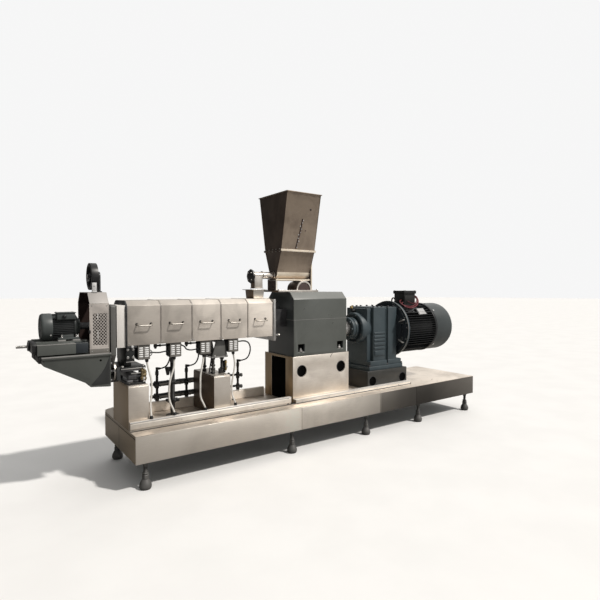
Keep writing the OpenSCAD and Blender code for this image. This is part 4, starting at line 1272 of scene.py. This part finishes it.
# terminal box details: lid screws, gland plate and glands; blank plate
b = Build()
for x in (2552, 2698):
    for y in (246, 362):
        b.lathe([(0, 0), (0, 6), (3, 5), (4, 0)], (x, y, 1175.6), "z", 16)
b.cyl((2700, 262, 1160), "x", 24, 5, 14, 1)
b.done("terminal_lid_screws", "frame", "bare_steel", bevel=0.2)
b = Build()
b.box(2541, 2709, 235, 373, 1147.6, 1150.4)
b.box(2556, 2694, 238.5, 243, 1062, 1130)
for x, y, z, d, sx in ((2548, 268, 1086, 12, -1), (2548, 252, 1064, 12, -1), (2702, 264, 1124, 12, 1), (2702, 284, 1112, 12, 1), (2702, 250, 1106, 7, 1)):
    b.cyl((x, y, z), "x", sx * 7, d * 0.8, 6, 1)
b.cyl((2586, 242, 1078), "y", -7, 8, 6, 1)
b.done("terminal_gaskets", "frame", "black_rubber", bevel=0.5)
b = Build()
b.box(2553, 2697, 245, 363, 1024, 1062)
b.done("terminal_saddle", "frame", "box_black", bevel=1.5)
b = Build()
m = Matrix.Rotation(math.radians(-43), 3, "X")
for (x0, x1, w0, w1, t0, t1) in ((2628, 2718, -34, 34, 231.5, 233.5),):
    vs = []
    for x in (x0, x1):
        for w in (w0, w1):
            for t in (t0, t1):
                v = m @ Vector((0, -t, w))
                vs.append(b.bm.verts.new(P(x, 310 + v.y, 826 + v.z)))
    for f in ((0, 1, 3, 2), (4, 6, 7, 5), (0, 4, 5, 1), (2, 3, 7, 6), (0, 2, 6, 4), (1, 5, 7, 3)):
        b.bm.faces.new([vs[i] for i in f])
b.done("motor_plate", "frame", "label_grey", bevel=0.6)
b = Build()
for (x0, x1, w0, w1, t0, t1) in ((2616, 2730, -40, 40, 198, 231.5), (2560, 2585, -14, 14, 198, 229)):
    vs = []
    for x in (x0, x1):
        for w in (w0, w1):
            for t in (t0, t1):
                v = m @ Vector((0, -t, w))
                vs.append(b.bm.verts.new(P(x, 310 + v.y, 826 + v.z)))
    for f in ((0, 1, 3, 2), (4, 6, 7, 5), (0, 4, 5, 1), (2, 3, 7, 6), (0, 2, 6, 4), (1, 5, 7, 3)):
        b.bm.faces.new([vs[i] for i in f])
b.done("motor_plate_pad", "frame", "black_paint", bevel=2)
# lifting eye
b = Build()
b.cyl((2478, 310, 1054), "z", 12, 20, 20, 2)
ring = [(2478 + 22 * math.cos(math.radians(t)), 310, 1086 + 22 * math.sin(math.radians(t))) for t in range(-80, 261, 20)]
b.tube(ring, 6.5, 12)
b.done("lifting_eye", "frame", "black_iron", sharp=60)
# fan cover with its pierced end
b = Build()
b.lathe([(0, 226), (0, 222), (-0.1, 222), (0, 226), (190, 226), (214, 222), (232, 214), (242, 204), (246, 192), (246, 178), (240, 176), (240, 0)],
        (2838, 310, 826), "x", 72)
o = b.done("fan_cover_turned", "frame", "green_grey_paint", bevel=0.0, sharp=50)
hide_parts("motor_fan_cover")
b = Build()
for r in range(40, 178, 12):
    b.lathe([(0, r - 3.0), (7, r - 3.0), (7, r + 3.0), (0, r + 3.0)], (3078, 310, 826), "x", 64)
for k in range(6):
    m6 = Matrix.Rotation(math.radians(60 * k + 15), 3, "X")
    vs = []
    for x in (3078, 3085.6):
        for rr in (16, 180):
            for t in (-4, 4):
                v = m6 @ Vector((0, -rr, t))
                vs.append(b.bm.verts.new(P(x, 310 + v.y, 826 + v.z)))
    for f in ((0, 1, 3, 2), (4, 6, 7, 5), (0, 4, 5, 1), (2, 3, 7, 6), (0, 2, 6, 4), (1, 5, 7, 3)):
        b.bm.faces.new([vs[i] for i in f])
b.lathe([(0, 0), (0, 30), (7.6, 28), (7.6, 0)], (3078, 310, 826), "x", 32)
b.done("fan_grille", "frame", "green_grey_paint", bevel=0.5)
b = Build()
b.lathe([(0, 176), (0.5, 176), (0.5, 0)], (3077.8, 310, 826), "x", 64)
b.done("fan_shadow", "frame", "black_rubber")
b = Build()
for k in range(4):
    a = math.radians(45 + 90 * k)
    y, z = 310 - 226 * math.cos(a), 826 + 226 * math.sin(a)
    d = Vector((0, -math.cos(a), math.sin(a)))
    p0 = Vector((2856, y, z)) - d * 2
    b.tube([tuple(p0), tuple(p0 + d * 3), tuple(p0 + d * 7)], 8, 6)
b.done("fan_cover_bolts", "frame", "plate_white", bevel=0.4)
b = Build()
b.box(2838, 2846, 240, 380, 1030, 1050)
b.done("fan_cover_clip", "frame", "dark_paint", bevel=0.5)


# ------------------------------------------------------------- feeder
b = Build()
b.lathe([(0, 0), (0, 26), (188, 26), (188, 0)], (958, 310, 1296), "x", 40)
b.lathe([(0, 26), (0, 34), (9, 34), (9, 26)], (1134, 310, 1296), "x", 40)
b.lathe([(0, 26), (0, 31), (7, 31), (7, 26)], (1040, 310, 1296), "x", 40)
# the spout, open below
for x0, x1, y0, y1 in ((964, 968, 280, 340), (1028, 1032, 280, 340), (968, 1028, 280, 284), (968, 1028, 336, 340)):
    b.box(x0, x1, y0, y1, 1197, 1290)
b.box(960, 964, 276, 344, 1197, 1202)
b.box(1032, 1036, 276, 344, 1197, 1202)
b.box(960, 1036, 276, 280, 1197, 1202)
b.box(960, 1036, 340, 344, 1197, 1202)
o = b.done("feeder_tube_turned", "frame", "stainless_bright", bevel=0.6)
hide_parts("feeder_tube")
b = Build()
b.lathe([(0, 0), (0, 49), (3, 53.5), (15, 53.5), (18, 49), (18, 0)], (940, 310, 1288), "x", 8)
b.done("feeder_cap", "frame", "black_plastic", bevel=1.2)
b = Build()
for k in range(4):
    a = math.radians(45 + 90 * k)
    b.bolt(940.6, 310 + 36 * math.cos(a), 1288 + 36 * math.sin(a), "x", 6, 4)
b.done("feeder_cap_bolts", "frame", "bare_steel", bevel=0.2)
# silver arch and the brown end face in it
b = Build()
outer = arc(1388, 1184, 73, 0, 180, 24)
inner = arc(1388, 1184, 60, 180, 0, 24)
outer = [(x, max(z, 1184)) for x, z in outer]
inner = [(x, max(z, 1184)) for x, z in inner]
pts = [b.bm.verts.new(P(x, y, z)) for y in (236, 262) for x, z in outer]
n1 = len(outer)
pin = [b.bm.verts.new(P(x, y, z)) for y in (236, 262) for x, z in inner[::-1]]
for k in range(n1 - 1):
    b.bm.faces.new([pts[k], pts[k + 1], pts[n1 + k + 1], pts[n1 + k]])
    b.bm.faces.new([pin[k + 1], pin[k], pin[n1 + k], pin[n1 + k + 1]])
    b.bm.faces.new([pts[k + 1], pts[k], pin[k], pin[k + 1]])
    b.bm.faces.new([pts[n1 + k], pts[n1 + k + 1], pin[n1 + k + 1], pin[n1 + k]])
b.bm.faces.new([pts[0], pts[n1], pin[n1], pin[0]])
b.bm.faces.new([pts[n1 - 1], pin[n1 - 1], pin[2 * n1 - 1], pts[2 * n1 - 1]])
b.done("drive_arch", "frame", "stainless_bright", bevel=0.8)
b = Build()
b.prism(arc(1388, 1184, 58, 0, 180, 20), "y", 240, 247)
b.done("drive_arch_face", "frame", "brown_rust", bevel=0.6)
# rivets of the hopper's seam, corner welds and the bolts of its flanges
def on_front(x, z):
    """A point of the upper hopper's front sheet."""
    half = 114 + (197 - 114) * (z - 1486) / (1918 - 1486)
    return (x, 310 - half, z)
b = Build()
seam = []
for k in range(15):
    t = k / 14
    x, z = 1312 + (1276 - 1312) * t, 1726 + (1500 - 1726) * t
    q = on_front(x + random.uniform(-3, 3), z)
    seam.append((q[0], q[1] + 0.5, q[2]))
b.tube(catmull(seam, 3), 5.6, 8)
for x, z, r in ((1376, 1800, 9), (1348, 1640, 5)):
    q = on_front(x, z)
    b.lathe([(1, 0), (0.4, r), (-1.6, r * 0.8), (-2.2, 0)], q, "y", 14)
b.done("hopper_seam", "frame", "brown_rust")
b = Build()
for k in range(10):
    t = (k + random.uniform(0.1, 0.6)) / 10
    x, z = 1312 + (1276 - 1312) * t, 1726 + (1500 - 1726) * t
    q = on_front(x + random.uniform(-9, 11), z)
    b.lathe([(0.4, 0), (0, 5.4), (-3.4, 4.0), (-6.6, 0)], q, "y", 10)
b.done("seam_stitches", "frame", "plate_white")
b = Build()
for x in range(1152, 1462, 50):
    for y, s in ((189.5, -1), (430.5, 1)):
        b.cyl((x, y + (-0.0 if s < 0 else 0.0), 1492), "z", 5, 4.6, 6, 0.6)
        b.cyl((x, y, 1480), "z", -5, 4.6, 6, 0.6)
for y in range(214, 420, 48):
    for x in (1140.5, 1461.5):
        b.cyl((x, y, 1492), "z", 5, 4.6, 6, 0.6)
        b.cyl((x, y, 1480), "z", -5, 4.6, 6, 0.6)
b.done("hopper_rivets", "frame", "bare_steel", bevel=0.2)
b = Build()
for x in (1146.4, 1455.6):
    for s in (-1, 1):
        b.tube([(x, 310 + s * 114, 1493), (x, 310 + s * (114 + 41.5), 1702), (x, 310 + s * 196.6, 1911)], 2.2, 8)
        b.tube([(x, 310 + s * 54, 1324), (x, 310 + s * 113, 1479)], 2.0, 8)
b.done("hopper_welds", "frame", "stained_stainless")
# bright cream strips on the hopper flange's front and back edges: painted highlights
b = Build()
b.box(1138, 1464, 186.4, 189.4, 1478, 1494)
b.box(1138, 1464, 430.6, 433.6, 1478, 1494)
b.done("hopper_flange_highlights", "frame", "painted_highlight_steel", bevel=0.6)
# a bright cream skin on the lower hopper's rounded bottom: painted reflection
b = Build()
lo_ = [(310 + 54.9 * math.cos(math.radians(a_)), 1322 + 54.9 * math.sin(math.radians(a_))) for a_ in range(180, 361, 10)]
n_ = len(lo_)
va = [[b.bm.verts.new(P(x, y, z)) for y, z in lo_] for x in (1147, 1455)]
vb = [[b.bm.verts.new(P(x, 310 + (y - 310) * 0.99, 1322 + (z - 1322) * 0.99)) for y, z in lo_] for x in (1147, 1455)]
for k in range(n_ - 1):
    b.bm.faces.new([va[0][k], va[0][k + 1], va[1][k + 1], va[1][k]])
    b.bm.faces.new([vb[0][k + 1], vb[0][k], vb[1][k], vb[1][k + 1]])
    b.bm.faces.new([va[0][k + 1], va[0][k], vb[0][k], vb[0][k + 1]])
    b.bm.faces.new([va[1][k], va[1][k + 1], vb[1][k + 1], vb[1][k]])
b.bm.faces.new([va[0][0], va[1][0], vb[1][0], vb[0][0]])
b.bm.faces.new([va[0][-1], vb[0][-1], vb[1][-1], va[1][-1]])
b.done("hopper_trough", "frame", "painted_highlight_steel")
# bright cream strips on the stand's right plate edge and its base plate's front edge: painted highlights
b = Build()
b.box(1456, 1466, 237, 241, 1184, 1480)
b.box(1131, 1458, 248.2, 250.4, 1257.5, 1269.5)
b.done("stand_edge_highlights", "frame", "painted_highlight_steel", bevel=0.6)
b = Build()
b.box(1455.0, 1456.4, 244, 376, 1272, 1470)
b.box(1131.0, 1132.6, 252, 368, 1186, 1256)
b.done("stand_shade", "frame", "brown_rust", bevel=0.3)
b = Build()
b.box(1131, 1457, 249.4, 371, 1256, 1258.2)
for x in (1150, 1300, 1440):
    for y in (254, 366):
        b.bolt(x, y, 1269, "z", 5, 4, 1)
for x in (1128, 1488):
    for y in (206, 414):
        b.bolt(x, y, 1184, "z", 7, 5, 1)
b.done("feeder_bolts", "frame", "bare_steel", bevel=0.3)


# ------------------------------------------------------------- cutter
CU = BODY["cutter_motor"]
b = Build()
b.lathe([(0, 0), (0, 60), (-6, 62), (-8, 66), (-6, 74), (0, 79), (6, 81), (46, 81), (51, 80), (51, 0)], (-438, 310, 972), "x", 56)
b.lathe([(0, 0), (0, 66), (124, 66), (124, 0)], (-388, 310, 972), "x", 48)
# front bell, with its register and the hole that the shaft leaves by
b.lathe([(0, 66), (0, 78), (10, 78), (14, 74), (30, 48), (36, 46), (36, 30), (30, 24), (30, 22)], (-274, 310, 972), "x", 56)
b.box(-366, -256, 200, 230, 905, 916)
b.box(-366, -256, 390, 420, 905, 916)
b.box(-340, -280, 232, 252, 905, 930)
b.box(-340, -280, 368, 388, 905, 930)
b.box(-366, -272, 226, 300, 1020, 1052)
b.box(-370, -268, 222, 304, 1054, 1060)
o = b.done("cutter_motor_body", CU, "motor_green", bevel=1.6, segments=2)
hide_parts("cutter_motor")
b = Build()
for s in (-1, 1):
    for k in range(-6, 6):
        z = k * 10.2 + 3
        y0 = math.sqrt(max(66 ** 2 - z * z, 0)) - 2
        y1 = math.sqrt(max(78 ** 2 - z * z, 0))
        if y1 > y0:
            b.box(-386, -266, min(310 + s * y0, 310 + s * y1), max(310 + s * y0, 310 + s * y1), 972 + z - 1.3, 972 + z + 1.3)
for k in range(-4, 5):
    y = k * 10.2
    if -74 < y < 8:
        continue
    b.box(-386, -266, 310 + y - 1.3, 310 + y + 1.3, 972 + math.sqrt(66 ** 2 - y * y) - 2, 972 + math.sqrt(78 ** 2 - y * y))
for k in range(-4, 5):
    y = k * 10.2
    b.box(-386, -266, 310 + y - 1.3, 310 + y + 1.3, 972 - math.sqrt(78 ** 2 - y * y), 972 - math.sqrt(66 ** 2 - y * y) + 2)
b.done("cutter_motor_fins", CU, "dark_paint", bevel=0.5)
b = Build()
for r in range(14, 60, 8):
    b.lathe([(0, r - 2), (-3, r - 2), (-3, r + 2), (0, r + 2)], (-438, 310, 972), "x", 40)
for k in range(8):
    m8 = Matrix.Rotation(math.radians(45 * k), 3, "X")
    vs = []
    for x in (-438, -441.5):
        for rr in (4, 60):
            for t in (-1.8, 1.8):
                v = m8 @ Vector((0, -rr, t))
                vs.append(b.bm.verts.new(P(x, 310 + v.y, 972 + v.z)))
    for f in ((0, 1, 3, 2), (4, 6, 7, 5), (0, 4, 5, 1), (2, 3, 7, 6), (0, 2, 6, 4), (1, 5, 7, 3)):
        b.bm.faces.new([vs[i] for i in f])
b.done("cutter_fan_grille", CU, "motor_green", bevel=0.3)
b = Build()
b.lathe([(0, 60), (-0.6, 60), (-0.6, 0)], (-438.2, 310, 972), "x", 48)
b.box(-366, -272, 225, 301, 1051.6, 1054.4)
b.box(-370, -262, 236, 300, 1016, 1021)
b.done("cutter_motor_gaskets", CU, "black_rubber", bevel=0.3)
b = Build()
for x in (-362, -276):
    for y in (229, 297):
        b.lathe([(0, 0), (0, 4), (2, 3.4), (2.6, 0)], (x, y, 1060), "z", 12)
for x in (-349, -273):
    for y in (214, 406):
        b.cyl((x + 3, y, 916), "z", 5, 8.5, 6, 0.8)
        b.cyl((x + 3, y, 921), "z", 12, 4.5, 12, 0.6)
a = math.radians(-31)
b.lathe([(0.5, 0), (0, 5), (-3.5, 4.5), (-4, 0)], (-399, 310 - 81 * math.cos(a) - 0.2, 972 + 81 * math.sin(a)), "y", 14)
b.done("cutter_motor_bolts", CU, "bare_steel", bevel=0.2)
b = Build()
for x in (-366, -290):
    for y in (196, 386):
        b.box(x - 2, x + 38, y, y + 38, 897, 905)
b.done("cutter_motor_shims", CU, "light_grey_paint", bevel=0.5)
b = Build()
b.cyl((-330, 226, 1036), "y", -10, 11, 6, 1)
b.lathe([(-10, 0), (-10, 9), (-18, 8), (-20, 5), (-20, 0)], (-330, 226, 1036), "y", 16)
b.done("cutter_motor_gland", CU, "black_plastic", bevel=0.3)
# carriage: end housing of the screw and way cover at the guard's side
# the screw's end housing is black: painted shade on the carriage's -x end
b = Build()
b.prism([(176, 838), (384, 838), (396, 850), (396, 884), (384, 896), (176, 896), (164, 884), (164, 850)], "x", -500, -478)
b.cyl((-500, 300, 868), "x", -10, 26, 24, 2)
b.done("screw_housing", CU, "black_plastic", bevel=4, segments=3)
b = Build()
b.box(-219, -176, 214, 406, 843, 884)
for k in range(5):
    b.box(-176 + k * 7, -173 + k * 7, 218, 402, 843, 882 - (k % 2) * 5)
b.done("way_bellows", CU, "black_rubber", bevel=0.8)
b = Build()
b.box(-284, -219, 148.9, 151, 829, 886)
b.box(-284, -219, 156, 464, 886.4, 888.2)
b.done("carriage_cover", CU, "blue_dark", bevel=0.6)
b = Build()
b.box(-478.6, -284, 149.0, 151.4, 883.6, 887.6)
b.box(-478.9, -476, 149.4, 470, 883.6, 887.6)
b.done("carriage_edge", CU, "light_grey_paint", bevel=0.5)
# the screw's threaded rod
SB = BODY["lead_screw"]
b = Build()
prof = [(0, 0), (0, 6), (2, 7.6)]
s_ = 3.0
while s_ < 84:
    prof += [(s_, 7.4), (s_ + 1.5, 8.5), (s_ + 3.0, 7.4)]
    s_ += 3.0
prof += [(88, 8.4), (88, 0)]
b.lathe(prof, (-566, 300, 868), "x", 20)
b.lathe([(0, 0), (0, 20), (8, 20), (8, 0)], (-486, 300, 868), "x", 32)
o = b.done("lead_screw_turned", SB, "bare_steel", bevel=0.0)
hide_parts("lead_screw")
# black blocks on the table's -x end: painted shade on that end face
b = Build()
b.box(-472, -457, 156, 300, 784, 821)
b.box(-472, -457, 320, 464, 784, 821)
b.done("table_stops", "frame", "black_rubber", bevel=3, segments=3)
b = Build()
b.box(-459.4, -95, 139.6, 141.4, 812, 819.4)
b.box(-459.4, -457.8, 140, 477, 812, 819.4)
b.done("table_edge", "frame", "light_grey_paint", bevel=0.4)
# painted shadow on the arm's front corner, cast by the mounting plate
b = Build()
b.prism([(-101, 803), (-103, 796), (-126, 738), (-150, 700), (-178, 668), (-204, 640), (-196, 634), (-120, 634), (-101, 634)], "y", 149.2, 150.4)
b.done("arm_corner_shadow", "frame", "shade_paint", bevel=0.3)
# a black disc for the hole in the arm: painted shade in it
b = Build()
b.lathe([(0, 0), (0, 6), (-0.8, 6), (-0.8, 0)], (-152, 150, 777), "y", 18)
b.done("arm_hole", "frame", "painted_shade_black")
b = Build()
for z in (650, 700, 750, 790):
    b.bolt(-96, 166, z, "x", 11, 8, 1)
    b.bolt(-96, 454, z, "x", 11, 8, 1)
b.done("arm_bolts", "frame", "dark_steel", bevel=0.4)
# bright turned edge of the pivot
b = Build()
b.lathe([(0, 52), (0, 59.5), (1.5, 61), (11.5, 61), (13, 59.5), (13, 52)], (-63, 262, 690), "x", 56)
b.cyl((-49, 262, 690), "x", 8, 26, 6, 2)
b.done("pivot_ring", "frame", "stainless_bright", bevel=0.5)
b = Build()
for y in (224, 356):
    b.cyl((-51, y, 700), "x", -8, 17, 6, 1.5)
    b.cyl((-30, y, 700), "x", 8, 17, 6, 1.5)
b.box(-94.8, -62.4, 150, 470, 703, 705)
b.done("pivot_nuts", "frame", "dark_steel", bevel=0.4)

# guard: the CAD's shape with a window in its front for the pierced sheet
def window(o, boxes):
    for k, (x0, x1, y0, y1, z0, z1) in enumerate(boxes):
        w = Build()
        w.box(x0, x1, y0, y1, z0, z1)
        bmesh.ops.recalc_face_normals(w.bm, faces=w.bm.faces)
        me = bpy.data.meshes.new("cut")
        w.bm.to_mesh(me)
        w.bm.free()
        c = link("cut", me)
        md = o.modifiers.new("cut", "BOOLEAN")
        md.operation = "DIFFERENCE"
        md.object = c
        md.solver = "EXACT"
        dg = bpy.context.evaluated_depsgraph_get()
        new = bpy.data.meshes.new_from_object(o.evaluated_get(dg))
        o.modifiers.clear()
        o.data = new
        bpy.data.objects.remove(c)


GUARD = [(-193, -115, 140, 150, 868, 1052)]
o = link("cutter_guard_sheet", clean_copy("cutter_guard"))
window(o, GUARD)
bevel_apply(o, 0.0008, 2)
smooth(o.data)
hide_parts("cutter_guard")
finish_piece(o, BODY["cutter_guard"], "guard_steel")
b = Build()
A_, B_, K_ = 8.4, 9.6, 0.74
for y0, y1 in ((146.2, 147.6),):
    nx = int((78 + 12) / A_)
    nz = int((184 + 16) / B_)
    for i in range(nx + 1):
        for j in range(nz + 1):
            if (i + j) % 2:
                continue
            cx, cz = -199 + i * A_, 860 + j * B_
            o4 = [(cx - A_, cz), (cx, cz + B_), (cx + A_, cz), (cx, cz - B_)]
            i4 = [(cx - A_ * K_, cz), (cx, cz + B_ * K_), (cx + A_ * K_, cz), (cx, cz - B_ * K_)]
            vo = [[b.bm.verts.new(P(x, y, z)) for x, z in o4] for y in (y0, y1)]
            vi = [[b.bm.verts.new(P(x, y, z)) for x, z in i4] for y in (y0, y1)]
            for k in range(4):
                k2 = (k + 1) % 4
                b.bm.faces.new([vo[0][k], vo[0][k2], vi[0][k2], vi[0][k]])
                b.bm.faces.new([vo[1][k2], vo[1][k], vi[1][k], vi[1][k2]])
                b.bm.faces.new([vi[0][k], vi[0][k2], vi[1][k2], vi[1][k]])
bmesh.ops.remove_doubles(b.bm, verts=b.bm.verts, dist=1e-6)
b.done("guard_mesh", "frame", "guard_steel", sharp=20)
# bright strips along the guard's edges; the one on its right edge is a painted highlight of the bevel
b = Build()
for y, s in ((145, -1), (475, 1)):
    for x0, x1, z0, z1 in ((-211.4, -104.6, 846, 849.2), (-211.4, -104.6, 1108.6, 1111.4)):
        b.box(x0, x1, y - 0.9 if s < 0 else y - 0.2, y + 0.2 if s < 0 else y + 0.9, z0, z1)
b.box(-212.4, -210.6, 143.6, 146, 822, 1108)
b.box(-106.8, -104.2, 143.2, 148, 822, 1109)
b.done("guard_trim_and_highlight", "frame", "stainless_bright", bevel=0.4)
# dark brown sheets inside the guard's back wall, chamfers, roof and floor: painted shade inside the hood
b = Build()
b.box(-208, -95.5, 470.4, 471.8, 823, 1106)
b.prism([(471.6, 1106), (419.5, 1170.5), (418.5, 1169.5), (470.6, 1105)], "x", -208, -106)
b.prism([(148.4, 1106), (200.5, 1170.5), (201.5, 1169.5), (149.4, 1105)], "x", -208, -106)
b.box(-208, -106, 201, 419, 1170.4, 1171.8)
b.box(-208, -106, 150, 470, 822.4, 823.6)
b.done("guard_inside_shade", "frame", "painted_shade_brown")
b = Build()
b.box(-216, -208, 139, 150, 938, 956)
b.cyl((-212, 139, 947), "y", -5, 5, 14, 0.8)
b.done("guard_latch", "frame", "black_plastic", bevel=0.8)
b = Build()
b.box(-210.6, -105.4, 144.1, 145.4, 822, 846)
b.done("guard_foot_strip", "frame", "box_grey", bevel=0.3)
b = Build()
for x in (-200, -116):
    for z in (834, 1098):
        b.lathe([(0, 0), (0, 4), (-1.8, 3.2), (-2.4, 0)], (x, 145, z), "y", 12)
b.done("guard_screws", "frame", "bare_steel")
# handwheel's bracket: dark plate, axle and the bright lock post
b = Build()
b.prism([(280, 1175), (280, 1270)] + arc(310, 1270, 30, 180, 0, 14)[1:-1] + [(340, 1270), (340, 1175)], "x", -128, -118)
b.cyl((-187, 310, 1270), "x", 60, 8, 24, 1)
b.box(-134, -112, 272, 348, 1175, 1181)
o = b.done("wheel_bracket", "frame", "dark_paint", bevel=1)
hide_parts("handwheel_bracket")
b = Build()
b.box(-184, -160, 196, 210, 1175, 1232)
b.box(-186, -158, 192, 214, 1175, 1179)
b.cyl((-172, 196, 1214), "y", -3, 5, 6, 0.6)
b.done("lock_post", "frame", "plate_white", bevel=1.2)
b = Build()
b.cyl((-190, 310, 1270), "x", 5, 13, 6, 1.5)
b.done("wheel_nut", "frame", "bare_steel", bevel=0.4)


# ------------------------------------------------------- floor and lights
def stage_floor():
    bm = bmesh.new()
    n = 64
    rings = []
    for r in (0.001, 2, 4, 7, 12, 25, 60):
        rings.append([bm.verts.new((r * math.cos(2 * math.pi * k / n), r * math.sin(2 * math.pi * k / n), -0.0005)) for k in range(n)])
    for a, b in zip(rings, rings[1:]):
        for k in range(n):
            bm.faces.new([a[k], a[(k + 1) % n], b[(k + 1) % n], b[k]])
    me = bpy.data.meshes.new("floor")
    bm.to_mesh(me)
    bm.free()
    o = link("floor", me)
    m, nt, b = tree("floor_finish")
    v = coords(nt)
    pale = ramp(nt, noise(nt, v, 2.5, 4, 0.5), [(0.3, (0.80, 0.80, 0.795)), (0.7, (0.83, 0.83, 0.825))])
    lp_ = nt.nodes.new("ShaderNodeLightPath")
    nt.links.new(mix(nt, lp_.outputs["Is Camera Ray"], (0.26, 0.255, 0.25), pale), b.inputs["Base Color"])
    b.inputs["Roughness"].default_value = 0.85
    b.inputs["Specular IOR Level"].default_value = 0.1
    o.data.materials.append(m)
    return o


stage_floor()


def area(name, loc, target, size, power, color=(1, 1, 1), size_y=None):
    d = bpy.data.lights.new(name, "AREA")
    d.energy = power
    d.color = color
    d.size = size
    if size_y:
        d.shape = "RECTANGLE"
        d.size_y = size_y
    o = bpy.data.objects.new(name, d)
    o.location = loc
    o.rotation_euler = (Vector(target) - Vector(loc)).to_track_quat("-Z", "Y").to_euler()
    bpy.context.scene.collection.objects.link(o)
    return o


key = bpy.data.lights.new("key", "SUN")
key.energy = 2.75
key.angle = math.radians(3.2)
key.color = (1.0, 0.955, 0.90)
key_o = bpy.data.objects.new("key", key)
key_o.rotation_euler = Vector((0.366, -0.541, 0.764)).to_track_quat("Z", "Y").to_euler()
bpy.context.scene.collection.objects.link(key_o)

world = bpy.data.worlds.new("studio")
bpy.context.scene.world = world
world.use_nodes = True
wt = world.node_tree
for n_ in list(wt.nodes):
    wt.nodes.remove(n_)
wo = wt.nodes.new("ShaderNodeOutputWorld")
wb = wt.nodes.new("ShaderNodeBackground")
wt.links.new(wb.outputs[0], wo.inputs[0])
wc = wt.nodes.new("ShaderNodeTexCoord")


def lobe(direction, lo_, hi_, out_lo, out_hi):
    """A soft patch of light or dark around a direction."""
    d = wt.nodes.new("ShaderNodeVectorMath")
    d.operation = "DOT_PRODUCT"
    d.inputs[1].default_value = Vector(direction).normalized()
    wt.links.new(wc.outputs["Generated"], d.inputs[0])
    r = wt.nodes.new("ShaderNodeMapRange")
    r.interpolation_type = "SMOOTHSTEP"
    r.inputs["From Min"].default_value = lo_
    r.inputs["From Max"].default_value = hi_
    r.inputs["To Min"].default_value = out_lo
    r.inputs["To Max"].default_value = out_hi
    wt.links.new(d.outputs["Value"], r.inputs["Value"])
    return r.outputs["Result"]


def wadd(a_, b_, op="ADD"):
    return math_node(wt, op, a_, b_)


sky = wadd(lobe((0, 0, 1), 0.25, 0.95, 0.27, 0.80), lobe((0.52, -0.85, 0.06), 0.90, 1.0, 0.0, 0.75))
sky = wadd(sky, lobe((0.62, 0.78, 0.10), 0.45, 0.95, 0.0, 0.60))
sky = wadd(sky, lobe((-0.62, 0.78, 0.0), 0.20, 0.80, 1.0, 0.16), "MULTIPLY")
sky = wadd(sky, lobe((-1.0, -0.1, 0.0), 0.30, 0.95, 1.0, 0.60), "MULTIPLY")
wcol = mix(wt, sky, (0, 0, 0), (1.0, 0.985, 0.96))
wcol.node.clamp_factor = False
lp = wt.nodes.new("ShaderNodeLightPath")
wt.links.new(mix(wt, lp.outputs["Is Camera Ray"], wcol, (0.925, 0.925, 0.925)), wb.inputs["Color"])
wb.inputs["Strength"].default_value = 1.0

bpy.context.scene.view_settings.view_transform = "Standard"
bpy.context.scene.view_settings.look = "None"
bpy.context.scene.view_settings.exposure = 0.0

bpy.context.view_layer.update()
